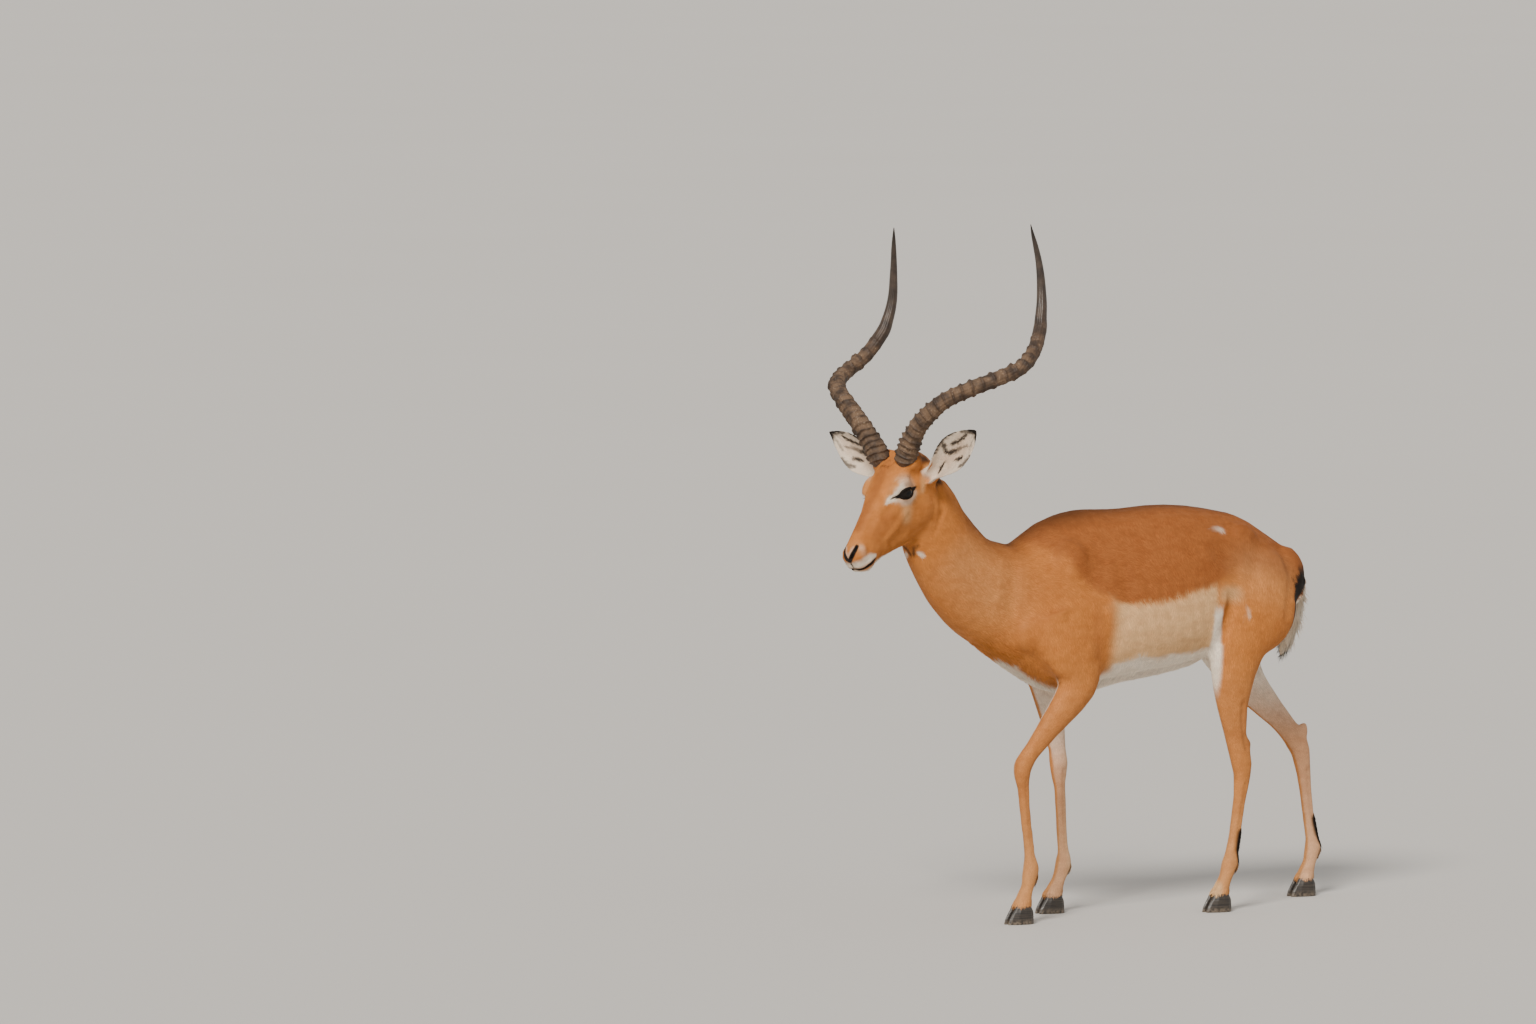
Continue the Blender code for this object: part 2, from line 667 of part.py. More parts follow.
def claw_mesh(foot_x, foot_y, side):
    """One of a foot's two claws: a narrow toe, a round heel and a flat sole."""
    rings = []
    for share, toe, heel, width in CLAW_LEVELS:
        ring = []
        for turn in np.arange(12) * 2 * math.pi / 12:
            ahead = math.cos(turn)
            reach = toe * ahead if ahead > 0 else heel * ahead
            half = width * math.sin(turn) * (1 - 0.3 * max(0.0, ahead))
            inward = 0.0036 * max(0.0, ahead) ** 2
            y = side * (CLAW_SPLAY - inward) + half
            y = side * max(side * y, CUT * 2)
            ring.append((foot_x - reach, foot_y + y, share * (CORONET - CUT)))
        rings.append(ring)
    return mesh_from("claw", [loft(rings)])


# ---- Assembly -------------------------------------------------------------------------------


def material(name, colour, roughness):
    made = bpy.data.materials.new(name)
    made.use_nodes = True
    shader = made.node_tree.nodes["Principled BSDF"]
    shader.inputs["Base Color"].default_value = (*colour, 1.0)
    shader.inputs["Roughness"].default_value = roughness
    made.diffuse_color = (*colour, 1.0)
    return made


def cutter(name, mesh, collection):
    tool = bpy.data.objects.new(name, mesh)
    tool.hide_render = True
    tool.display_type = "WIRE"
    collection.objects.link(tool)
    return tool


def carved(mesh, tools, operation="DIFFERENCE"):
    """The mesh less each cutter, or its share inside them."""
    steps = []
    for tool in tools:
        steps.append(("BOOLEAN", {"operation": operation, "solver": "EXACT", "object": tool}))
    return modified(mesh.copy(), *steps)


def plane_through(low, high, across):
    """A cut through two places on the midline, facing forwards."""
    low, high = Vector(low), Vector(high)
    normal = (high - low).cross(Vector(across)).normalized()
    return low, normal if normal.x < 0 else -normal


def ear_box(side, grow):
    """A block round an ear, from its parting outwards."""
    reach = level_step(*EAR_REACH, side)
    along = reach.normalized()
    across = along.cross(AHEAD).normalized()
    axes = Matrix((across, along.cross(across), along)).transposed().to_4x4()
    start = on_head(*EAR_ROOT, side) + along * (EAR_CUT - grow)
    shape = bmesh.new()
    size = Matrix.Diagonal((0.12, 0.10, 0.2, 1.0))
    bmesh.ops.create_cube(shape, matrix=Matrix.Translation(start) @ axes @ size)
    bmesh.ops.translate(shape, vec=along * 0.1, verts=shape.verts)
    bmesh.ops.recalc_face_normals(shape, faces=shape.faces)
    return mesh_from("box", [shape])


def swollen(mesh, by):
    """A copy whose surface stands a little further out, used to cut a seat with clearance."""
    made = mesh.copy()
    normals = [vertex.normal.copy() for vertex in made.vertices]
    for vertex, normal in zip(made.vertices, normals):
        vertex.co += normal * by
    return made


def centre_on_floor(collection):
    """Moves the nodes together so that the middle of their box's base is the origin."""
    corners = np.array([tuple(v.co) for node in collection.objects for v in node.data.vertices])
    low, high = corners.min(axis=0), corners.max(axis=0)
    shift = Vector((-(low[0] + high[0]) / 2, -(low[1] + high[1]) / 2, -low[2]))
    for node in collection.objects:
        node.data.transform(Matrix.Translation(shift))


def clear_scene():
    for old in list(bpy.data.objects):
        bpy.data.objects.remove(old)


def main():
    clear_scene()
    scene = bpy.context.scene
    model = bpy.data.collections.new("impala")
    tools = bpy.data.collections.new("cutters")
    scene.collection.children.link(model)
    scene.collection.children.link(tools)

    rufous = material("coat_rufous", COAT_RUFOUS, 0.6)
    tan = material("coat_tan", COAT_TAN, 0.6)
    white = material("coat_white", COAT_WHITE, 0.7)
    horn = material("horn", HORN_BROWN, 0.4)
    hoof = material("hoof", HOOF_BLACK, 0.4)
    eye = material("eye", EYE_BLACK, 0.1)

    head_side = [neck_shape(), *head_shapes()]
    body = joined(body_shapes() + head_side, BODY_GRID, 110, BODY_FACES, LEG_TOP)
    ears = [ear_shape(side) for side in (1, -1)]
    head_side = [neck_shape(), *head_shapes(), *ears]
    front = joined(head_side, HEAD_GRID, 10, HEAD_FACES)

    # The legs come off with level cuts, then the neck and the head with slanted ones.
    upper, legs = parted(body, (0, 0, LEG_TOP), (0, 0, -1))
    for leg in islands(legs):
        stub = halved(leg, (0, 0, CORONET), (0, 0, -1))
        middle = centre_of(leg)
        end = "fore" if middle.x < 0 else "hind"
        side = "left" if middle.y < 0 else "right"
        place(f"leg_{end}_{side}", stub, tan, model)
    trunk, fore = parted(upper, *plane_through(CHEST, WITHERS, (0, 1, 0)))
    neck_end = plane_through(THROAT, NAPE, LEFT)
    place("neck", halved(fore, *neck_end), rufous, model)
    head = parted(front, *neck_end)[1]

    tail = tail_mesh()
    seat = cutter("tail_seat", swollen(tail, SEAT_GAP), tools)
    place("tail", tail, white, model)
    place("trunk", carved(trunk, [seat]), rufous, model)

    for side, word in ((1, "left"), (-1, "right")):
        box = cutter(f"ear_box_{word}", ear_box(side, 0.0), tools)
        hole = cutter(f"ear_hole_{word}", ear_box(side, CUT), tools)
        place(f"ear_{word}", largest(carved(head, [box], "INTERSECT")), tan, model)
        seats = [
            hole,
            cutter(f"eye_seat_{word}", eye_mesh(side, SEAT_GAP), tools),
            cutter(f"horn_seat_{word}", horn_mesh(side, SEAT_GAP), tools),
        ]
        head = largest(carved(head, seats))
        place(f"eye_{word}", eye_mesh(side), eye, model)
        place(f"horn_{word}", horn_mesh(side), horn, model)
    place("head", head, tan, model)

    for leg, rows in LEGS.items():
        foot_x, foot_y = rows[-2][:2]
        for side, word in ((-1, "a"), (1, "b")):
            place(f"hoof_{leg}_{word}", claw_mesh(foot_x, foot_y, side), hoof, model)
    centre_on_floor(model)


main()
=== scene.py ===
"""The looks of a male impala at life size: one skin under a short coat, horns, eyes and hooves.

Places on the body are measured from under the middle of the belly, with the nose towards -X and
the left side towards -Y. Places on the head are measured from midway between the eyes: ahead along
the face, to the side, and above the line of the face. Lengths are in metres, and in the tables of
paths in millimetres.
"""

import math
from collections import namedtuple

import bmesh
import bpy
import numpy as np
from mathutils import Matrix, Vector
from mathutils.bvhtree import BVHTree
from mathutils.kdtree import KDTree


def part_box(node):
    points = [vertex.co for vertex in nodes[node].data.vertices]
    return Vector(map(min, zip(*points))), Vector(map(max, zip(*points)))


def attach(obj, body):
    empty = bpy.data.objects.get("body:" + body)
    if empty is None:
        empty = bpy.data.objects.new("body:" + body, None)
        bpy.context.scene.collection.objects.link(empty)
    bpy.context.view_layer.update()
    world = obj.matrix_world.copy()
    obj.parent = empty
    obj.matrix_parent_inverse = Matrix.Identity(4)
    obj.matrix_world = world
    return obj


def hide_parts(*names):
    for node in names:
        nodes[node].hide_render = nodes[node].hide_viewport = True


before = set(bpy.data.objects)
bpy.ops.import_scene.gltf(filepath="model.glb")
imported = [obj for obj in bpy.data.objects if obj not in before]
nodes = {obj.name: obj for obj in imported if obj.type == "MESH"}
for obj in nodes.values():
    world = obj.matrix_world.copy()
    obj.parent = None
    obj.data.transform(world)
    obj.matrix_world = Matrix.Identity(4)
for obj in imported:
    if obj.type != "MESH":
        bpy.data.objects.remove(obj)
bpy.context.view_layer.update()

# ---- Sizes ----

EYE_RADIUS = 0.0175
EYE_ASIDE = 0.044  # from the middle of the head to the middle of each eye
EYE_RISE = 0.001  # the eyes' height above the line of the face
HEAD_PITCH = math.radians(43.5)  # how far the face points down
HEAD_MIDDLE = Vector((-0.645, -0.064, 0.911))  # midway between the eyes, before the part's shift
AWAY = 9.0  # stands for a place that a path or line doesn't reach
SWELL = 0.0006  # how far the masses grow over the cuts between them
# Each remesh: the size of its cells, and the rounds of smoothing after it.
BODY_EVEN, HEAD_EVEN, SKIN_EVEN, CLAW_EVEN = (0.0045, 45), (0.0021, 12), (0.0023, 7), (0.0014, 4)
CREASE_ROUNDS = 45
FLOOR_GAP = 0.0004  # how far the lowest hairs stay off the floor
SKIN_GAP_SHADE = 0.88  # painted shade between the hairs: the skin between the tufts is a little darker than they are
HAIR_BUMP = 0.0008
ROOM_LOW = (1.24, 1.195, 1.125)
ROOM_HIGH = (1.0, 0.99, 0.97)
ROOM_LIGHT = 0.60
KEY_LIGHT, KEY_SPREAD = 3.8, math.radians(16)
KEY_WAY = Vector((0.75, 0.66, -0.78))
VIEW_TURN, VIEW_RISE, VIEW_FAR = math.radians(-32), math.radians(4), 25.0
VIEW_ASIDE, VIEW_ABOVE = -0.7621, 0.8421  # the point in the middle of the view
VIEW_LENS = 278.3

LEGS = ("fore_left", "fore_right", "hind_left", "hind_right")
BODY = ["trunk", "neck", "head", "tail"] + [f"leg_{leg}" for leg in LEGS]
EARS = ["ear_left", "ear_right"]

# ---- Frames ----

eye_left, eye_right = (sum(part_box(name), Vector()) / 2 for name in ("eye_left", "eye_right"))
LEFT = (eye_left - eye_right).normalized()
AHEAD = Vector((0, 0, 1)).cross(LEFT).normalized()
AHEAD = AHEAD if AHEAD.x < 0 else -AHEAD
UP = AHEAD.cross(LEFT).normalized()
UP = UP if UP.z > 0 else -UP
MUZZLE = AHEAD * math.cos(HEAD_PITCH) - UP * math.sin(HEAD_PITCH)
CROWN = AHEAD * math.sin(HEAD_PITCH) + UP * math.cos(HEAD_PITCH)
HEAD_AT = (eye_left + eye_right) / 2 - CROWN * EYE_RISE
SHIFT = HEAD_AT - HEAD_MIDDLE
HEAD_AXES = np.array((MUZZLE, LEFT, CROWN))


def on_body(points):
    """Places measured on the body from places in the model."""
    return np.asarray(points) - np.array(SHIFT)


def on_head(points):
    """Places measured on the head from places in the model."""
    return (np.asarray(points) - np.array(HEAD_AT)) @ HEAD_AXES.T


def head_place(ahead, aside, above, side=1):
    return HEAD_AT + MUZZLE * ahead + LEFT * (side * aside) + CROWN * above


def level_step(back, aside, up, side=1):
    return LEFT * (side * aside) - AHEAD * back + UP * up


# ---- Small tools ----


def only(*chosen):
    """Selects these objects and nothing else, the first one active."""
    if bpy.context.object and bpy.context.object.mode != "OBJECT":
        bpy.ops.object.mode_set(mode="OBJECT")
    bpy.ops.object.select_all(action="DESELECT")
    for piece in chosen:
        piece.select_set(True)
    bpy.context.view_layer.objects.active = chosen[0]


def worked(piece, kind, **settings):
    """Adds a modifier and applies it."""
    only(piece)
    bpy.ops.object.modifier_add(type=kind)
    modifier = piece.modifiers[-1]
    for key, value in settings.items():
        setattr(modifier, key, value)
    bpy.ops.object.modifier_apply(modifier=modifier.name)


def smoothed(piece):
    only(piece)
    bpy.ops.object.shade_smooth()


def welded(piece, apart, fill=False):
    """Joins doubled corners, closes open ends if asked, and turns the faces outward."""
    work = bmesh.new()
    work.from_mesh(piece.data)
    bmesh.ops.remove_doubles(work, verts=work.verts, dist=apart)
    if fill:
        bmesh.ops.holes_fill(work, edges=[edge for edge in work.edges if edge.is_boundary])
    bmesh.ops.recalc_face_normals(work, faces=work.faces)
    work.to_mesh(piece.data)
    work.free()
    return piece


def linked(name, mesh):
    piece = bpy.data.objects.new(name, mesh)
    bpy.context.scene.collection.objects.link(piece)
    return piece


def copy_of(node, name):
    """A node's copy on its own mesh, its corners joined and its frame data left behind."""
    piece = linked(name, nodes[node].data.copy())
    piece.data.materials.clear()
    return welded(piece, 1e-5)


def vectors(items, key, width=3):
    out = np.empty(len(items) * width, np.float32)
    items.foreach_get(key, out)
    return out.reshape(-1, width).astype(float)


def corners_of(mesh):
    return vectors(mesh.vertices, "co")


def normals_of(mesh):
    return vectors(mesh.vertices, "normal")


def numbers(items, key, width):
    out = np.empty(len(items) * width, np.int32)
    items.foreach_get(key, out)
    return out.reshape(-1, width)


def mm(rows):
    """A table's rows in metres."""
    return np.array(rows, float) / 1000


def spans(rows):
    return np.linalg.norm(rows, axis=1)


def unit(rows):
    return rows / np.maximum(spans(rows), 1e-9)[:, None]


def dots(rows, ways):
    """How far each row reaches along its own way."""
    return (rows * ways).sum(1)[:, None]


def put(mesh, points):
    mesh.vertices.foreach_set("co", points.astype(np.float32).ravel())
    mesh.update()


def smooth(low, high, value):
    t = np.clip((value - low) / (high - low), 0.0, 1.0)
    return t * t * (3 - 2 * t)


def band(value, start, full, still, end):
    """Rises from 0 at start to 1 at full, and falls from still to 0 at end."""
    return smooth(start, full, value) * smooth(end, still, value)


def between(value, low, high):
    return (value > low) & (value < high)


def blend(first, second, share):
    return first * (1 - share) + second * share


def neighbours(mesh):
    """A function that gives the step from each point to the middle of those joined to it."""
    a, b = numbers(mesh.edges, "vertices", 2).T
    count = len(mesh.vertices)
    valence = np.bincount(np.concatenate((a, b)), minlength=count)

    def step(points):
        sums = [np.bincount(a, col[b], count) + np.bincount(b, col[a], count) for col in points.T]
        return np.column_stack(sums) / valence[:, None] - points

    return step


def relax(mesh, rounds, weight=1.0):
    """Evens the surface. A pass out after each pass in keeps the volume."""
    points = corners_of(mesh)
    step = neighbours(mesh)
    for _ in range(rounds):
        for share in (0.5, -0.52):
            points += step(points) * share * weight
    put(mesh, points)


def fill_creases(mesh, rounds):
    """Fills the creases between the masses from outside. Eyes, ears and face are left out."""
    step = neighbours(mesh)
    points = corners_of(mesh)
    weight = (~near_eyes(points, 0.036) & (on_head(points)[:, 0] < 0.03)).astype(float)
    for side in (1, -1):
        weight *= ~on_leaf(*ear_places(points, side))
    for _ in range(rounds):
        normals = normals_of(mesh)
        points += normals * (np.maximum(dots(step(points), normals), 0) * weight[:, None])
        put(mesh, points)


def reach(points, path):
    """Distance from a path whose rows are x, y, z and radius, in shares of its radius."""
    path = path if len(path) > 1 else np.vstack((path, path))
    wide = 2.2 * path[:, 3].max()
    inside = between(points, path[:, :3].min(0) - wide, path[:, :3].max(0) + wide)
    close = np.flatnonzero(inside.all(1))
    found = np.full(len(close), AWAY)
    spots = points[close]
    for a, b in zip(path, path[1:]):
        step = b[:3] - a[:3]
        t = np.clip((spots - a[:3]) @ step / max(step @ step, 1e-12), 0, 1)
        apart = spans(spots - a[:3] - t[:, None] * step)
        found = np.minimum(found, apart / (a[3] + t * (b[3] - a[3])))
    out = np.full(len(points), AWAY)
    out[close] = found
    return out


def paint(points, path, soft=0.35):
    """1 on a path and 0 away from it."""
    return 1 - smooth(1 - soft, 1 + soft, reach(points, path))


def press(points, normals, spots, path, amount):
    """Moves the surface along its normals near a path: out for a ridge, in for a groove."""
    weight = np.clip(1 - reach(spots, path) ** 2, 0, 1) ** 2
    points += normals * (weight * amount)[:, None]


def relief(points, normals, spots, rows):
    """Presses each row of a table into the surface, on both sides."""
    for rise, *path in rows:
        for one in both(mm(path)):
            press(points, normals, spots, one, rise / 1000)


def near(points, spots, radius):
    """True within a radius of any of the spots."""
    return np.any([spans(points - spot) < radius for spot in spots], axis=0)


def both(path):
    """A path and its mirror twin on the other side."""
    return path, path * (1, -1, 1, 1)


def folded(places):
    """Places with the right side laid over the left."""
    return np.column_stack((places[:, 0], abs(places[:, 1]), places[:, 2]))


def ball(name, place, radii, axes=None, segments=32, rings=20):
    """A stretched ball with its axes along the head's."""
    only(nodes["head"])
    bpy.ops.object.select_all(action="DESELECT")
    bpy.ops.mesh.primitive_uv_sphere_add(segments=segments, ring_count=rings, radius=1.0)
    piece = bpy.context.object
    piece.name = name
    frame_axes = Matrix(axes or (MUZZLE, LEFT, CROWN)).transposed().to_4x4()
    piece.data.transform(Matrix.Translation(place) @ frame_axes @ Matrix.Diagonal((*radii, 1)))
    return piece


def lofted(name, rows):
    """A closed tube over rings of points, from a grid primitive rolled round and welded."""
    count, sides = rows.shape[:2]
    bpy.ops.object.select_all(action="DESELECT")
    bpy.ops.mesh.primitive_grid_add(x_subdivisions=sides, y_subdivisions=count - 1, size=1)
    piece = bpy.context.object
    piece.name = name
    put(piece.data, np.concatenate((rows, rows[:, :1]), axis=1).reshape(-1, 3))
    return welded(piece, 1e-6, fill=True)


# ---- The skin's form ----


def masses(names):
    """Copies of nodes, swollen over the parting cuts, with the seats of horns and eyes filled."""
    pieces = []
    for name in names:
        pieces.append(copy_of(name, f"mass_{name}"))
        worked(pieces[-1], "DISPLACE", strength=SWELL, mid_level=0.0)
    lid = EYE_RADIUS + 0.0026
    seats = (
        ((0, EYE_ASIDE, EYE_RISE), (lid, lid, lid)),
        ((-0.068, 0.032, 0.024), (0.0290, 0.0250, 0.0210)),
        ((-0.063, 0.034, 0.0225), (0.0285, 0.0265, 0.0235)),
    )
    for side in (1, -1):
        for place, radii in seats:
            pieces.append(ball("seat", head_place(*place, side), radii))
    only(*pieces)
    bpy.ops.object.join()
    return pieces[0]


def evened(piece, grain, rounds):
    """One closed surface of even cells over all that a piece holds."""
    worked(piece, "REMESH", mode="VOXEL", voxel_size=grain)
    relax(piece.data, rounds)


def base_form():
    """The body and the finer head, each evened out, then made one surface."""
    body = masses(BODY)
    evened(body, *BODY_EVEN)
    head = masses(["head", *EARS])
    evened(head, *HEAD_EVEN)
    only(body, head)
    bpy.ops.object.join()
    evened(body, *SKIN_EVEN)
    fill_creases(body.data, CREASE_ROUNDS)
    body.name = "skin"
    return body


def ear_frame(side):
    """Root, reach, the way its cup opens, and across."""
    root = head_place(-0.071, 0.052, -0.0315, side)
    out = level_step(-0.023, 0.153, 0.101, side)
    along = out.normalized()
    turn = math.radians(11.5)
    facing = AHEAD * math.cos(turn) + LEFT * side * math.sin(turn)
    facing = (facing - along * facing.dot(along)).normalized()
    return np.array(root), np.array(out), np.array(facing), np.array(along.cross(facing))


def ear_places(points, side):
    """Share of the ear's length, and distances towards its opening and across it."""
    root, out, facing, across = ear_frame(side)
    rel = points - root
    span = np.linalg.norm(out)
    share = rel @ out / span**2
    bow = 0.008 * np.sin(math.pi * np.clip(share, 0, 1))
    return share, rel @ facing + bow, rel @ across


def leaf_half(share):
    """Half the ear's breadth at each share of its length."""
    return np.interp(share, (0.1, 0.3, 0.55, 0.8, 1.0), (0.014, 0.026, 0.037, 0.030, 0.010))


def on_leaf(share, ahead, across):
    """True on an ear and its root, and nowhere on the head."""
    close = abs(across) < (1.1 + 0.3 * smooth(0.10, 0.25, share)) * leaf_half(share) + 0.004
    return close & between(ahead, -0.025, 0.020 + 0.10 * share) & between(share, -0.02, 1.1)


def ear_share(points):
    """How much a place belongs to an ear's leaf: 0 on the head, 1 on the leaf."""
    found = np.zeros(len(points))
    for side in (1, -1):
        share, ahead, across = ear_places(points, side)
        leaf = on_leaf(share, ahead, across)
        found = np.maximum(found, np.where(leaf, smooth(0.16, 0.30, share), 0))
    return found


LEG_LINES = {}
RIB_STEP, RIB_SLANT, RIB_RISE = 0.030, 0.35, 0.0006
TENDON, HOCK_HOLLOW, CLEFT = -0.0017, -0.0034, -0.0030  # depths of the grooves in the legs
GLAND = (0.165, 0.150, 0.135, 0.120)  # heights of the black tuft behind each hind leg


def leg_lines(points):
    """The middle and half sizes of each leg at even heights, from the surface itself."""
    for leg in LEGS:
        low, high = (np.array(corner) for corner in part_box(f"leg_{leg}"))
        rows = []
        for height in np.linspace(low[2] + 0.012, high[2] - 0.004, 18):
            ring = points[abs(points[:, 2] - height) < 0.005, :2]
            ring = ring[between(ring, low[:2] - 0.01, high[:2] + 0.01).all(1)]
            least, most = ring.min(0), ring.max(0)
            rows.append((*(least + most) / 2, height, *(most - least) / 2))
        LEG_LINES[leg] = np.array(rows)[::-1]


def leg_at(leg, height):
    rows = LEG_LINES[leg][::-1]
    return np.array([np.interp(height, rows[:, 2], rows[:, i]) for i in (0, 1, 3, 4)])


def down_leg(leg, heights, ahead=0.0, aside=0.0, radius=0.0):
    """A path down a leg, these shares of its half sizes from its middle."""
    rows = []
    for height in heights:
        x, y, deep, wide = leg_at(leg, height)
        rows.append((x + ahead * deep, y + aside * wide, height, radius))
    return np.array(rows)


# How far the skin lies inside the outline of the coat, and how much further at the belly.
DEPTH = {"body": 0.0026, "legs": 0.0013, "head": 0.0013, "muzzle": 0.0007, "ears": 0.0013, "tail": 0.0038}
BELLY_DEPTH = 0.0012
BELLY_LINE = ((-200, 0, 470, 70), (160, 0, 530, 70))
TAIL_LINE = ((430, 0, 700, 30), (400, 0, 580, 30), (380, 0, 520, 30))


def coat_depth(points):
    place, face = on_body(points), on_head(points)
    depth = np.full(len(points), DEPTH["body"])
    depth = blend(depth, DEPTH["legs"], 1 - smooth(0.34, 0.50, place[:, 2]))
    depth += BELLY_DEPTH * paint(place, mm(BELLY_LINE))
    head = smooth(-0.13, -0.09, face[:, 0]) * smooth(-0.19, -0.12, face[:, 2])
    depth = blend(depth, DEPTH["head"], head)
    depth = blend(depth, DEPTH["muzzle"], smooth(0.06, 0.13, face[:, 0]) * head)
    depth = blend(depth, DEPTH["ears"], ear_share(points))
    return blend(depth, DEPTH["tail"], paint(place, mm(TAIL_LINE)))


# Ridges and hollows of the body: rise above the surface, then the path. Each has a twin.
BODY_RELIEF = (
    (2.2, (-165, 85, 800, 22), (-225, 115, 700, 24), (-280, 120, 615, 26)),
    (-2.6, (-130, 100, 790, 26), (-175, 120, 700, 26), (-235, 125, 640, 20)),
    (-2.2, (-205, 90, 790, 24), (-265, 110, 700, 24)),
    (-4.2, (-95, 120, 740, 30), (-92, 130, 660, 32), (-120, 125, 575, 30)),
    (-5.2, (-315, 60, 800, 26), (-345, 80, 730, 30), (-355, 75, 660, 30)),
    (-2.6, (-400, 70, 690, 24), (-480, 66, 770, 20), (-530, 58, 840, 20)),
    (2, (-150, 125, 600, 30), (-185, 125, 560, 24)),
    (-8, (160, 125, 755, 50), (185, 120, 735, 40)),
    (3, (215, 95, 815, 26)),
    (3, (150, 130, 660, 16), (133, 125, 615, 18), (125, 110, 570, 18)),
    (-4.2, (168, 132, 665, 18), (158, 130, 610, 18), (150, 125, 575, 14)),
    (-3.4, (320, 85, 790, 24), (338, 115, 700, 24), (315, 130, 620, 20)),
    (-2, (235, 120, 740, 30), (225, 135, 670, 30)),
    (-5, (372, 36, 735, 22), (385, 40, 690, 20)),
)

# The same on the head.
HEAD_RELIEF = (
    (-3.4, (-40, 50, 10, 22), (-60, 50, -4, 18)),
    (2.6, (22, 40, 26, 16), (-6, 50, 28, 16), (-30, 50, 20, 12)),
    (-2.6, (45, 38, 4, 18), (65, 32, 2, 16)),
    (2.1, (28, 48, -30, 12), (60, 40, -36, 13), (95, 33, -36, 12)),
    (-3.4, (55, 42, -64, 22), (90, 34, -58, 18)),
    (2, (-20, 52, -66, 36)),
    (-4.6, (-85, 50, -62, 13), (-55, 48, -105, 15), (0, 30, -130, 16)),
    (-1.8, (75, 26, 20, 14), (120, 22, 8, 12)),
    (-1.2, (0, 0, 44, 18), (50, 0, 36, 16)),
    (-1, (140, 27, -10, 12), (160, 25, -14, 10)),
    (1.2, (-70, 56, -12, 12), (-90, 60, -30, 12)),
    (-7, (-48, 0, 52, 24), (-80, 0, 48, 24)),
    (-3, (-60, 62, 16, 16)),
)


def shape_body(mesh):
    """Moves the skin in by the coat's depth and gives it muscles, hollows and tendons."""
    points = corners_of(mesh)
    normals = normals_of(mesh)
    leg_lines(points)
    points -= normals * coat_depth(points)[:, None]
    place, face = on_body(points), on_head(points)
    relief(points, normals, place, BODY_RELIEF)
    relief(points, normals, face, HEAD_RELIEF)
    ribs = band(place[:, 2], 0.56, 0.60, 0.69, 0.76) * band(place[:, 0], -0.10, -0.05, 0.07, 0.13)
    wave = np.cos((place[:, 0] + RIB_SLANT * (place[:, 2] - 0.62)) * 2 * math.pi / RIB_STEP)
    points += normals * (ribs * wave * RIB_RISE)[:, None]
    for leg in LEGS:
        shape_leg(points, normals, leg)
    put(mesh, points)


def shape_leg(points, normals, leg):
    """Tendons behind the bones, the hollow above each hock, and the cleft between the claws."""
    hind = leg.startswith("hind")
    for side in (1, -1):
        cord = down_leg(leg, np.linspace(0.270 if hind else 0.300, 0.130, 6), 0.15, side, 0.0070)
        press(points, normals, points, cord, TENDON)
        if hind:
            hollow = down_leg(leg, (0.440, 0.405, 0.370, 0.345), 0.36, 0.95 * side, 0.0125)
            press(points, normals, points, hollow, HOCK_HOLLOW)
    for end in (-1, 1):
        cleft = down_leg(leg, (0.082, 0.062, 0.046), end, 0.0, 0.0055)
        press(points, normals, points, cleft, CLEFT)


SKIN_FACES = (46000, 34000, 48000)  # triangles of the trunk and neck, the legs, and the head


def thinned(skin):
    """Fewer faces, so many to each region, so that the head keeps the most of its own."""
    for region, target in enumerate(SKIN_FACES):
        points = corners_of(skin.data)
        face, place = on_head(points), on_body(points)
        head = (face[:, 0] > -0.14) & (face[:, 2] > -0.20) | (ear_share(points) > 0.2)
        label = np.where(head, 2, np.where(place[:, 2] < 0.46, 1, 0))
        first = numbers(skin.data.polygons, "loop_start", 1)[:, 0]
        corners = numbers(skin.data.loops, "vertex_index", 1)[:, 0]
        sizes = np.diff(np.append(first, len(corners))) - 2
        own = sizes[label[corners[first]] == region].sum()
        group = skin.vertex_groups.new(name="region")
        group.add(np.flatnonzero(label == region).tolist(), 1.0, "REPLACE")
        worked(
            skin,
            "DECIMATE",
            ratio=1 - (own - target) / sizes.sum(),
            vertex_group="region",
            vertex_group_factor=1.0,
            use_collapse_triangulate=True,
        )
        skin.vertex_groups.clear()


def refined(skin, inside):
    """Splits the faces that a test picks by their middles."""
    only(skin)
    corners = corners_of(skin.data)
    chosen = inside(corners[numbers(skin.data.polygons, "vertices", 3)].mean(1))
    bpy.ops.object.mode_set(mode="EDIT")
    bpy.ops.mesh.select_mode(type="FACE")
    bpy.ops.mesh.select_all(action="DESELECT")
    bpy.ops.object.mode_set(mode="OBJECT")
    skin.data.polygons.foreach_set("select", chosen)
    bpy.ops.object.mode_set(mode="EDIT")
    bpy.ops.mesh.subdivide(number_cuts=1, smoothness=0.0)
    bpy.ops.mesh.select_all(action="SELECT")
    bpy.ops.mesh.quads_convert_to_tris()
    bpy.ops.mesh.select_all(action="DESELECT")
    bpy.ops.object.mode_set(mode="OBJECT")


# ---- Eyes and lids ----

LID_LONG = 0.0165  # half the opening's length
LID_UPPER = 0.0090
LID_LOWER = 0.0080
LID_SHIFT = 0.0010  # the opening's middle, towards the nose from the eye's
LID_EDGE = 0.0017  # the lids' surface above the eyeball
LID_FOLD = 0.0009


def eye_frame(side):
    """The eye's middle, and its axes: towards the nose, up, and out."""
    centre = np.array(head_place(0, EYE_ASIDE, EYE_RISE, side))
    out = (LEFT * side * 0.96 + MUZZLE * 0.20 + CROWN * 0.10).normalized()
    long = MUZZLE * 0.0604 + CROWN * 0.0250 - LEFT * side * 0.0153
    long = (long - out * long.dot(out)).normalized()
    up = out.cross(long)
    up = up if up.dot(CROWN) > 0 else -up
    return centre, np.array((long, up, out))


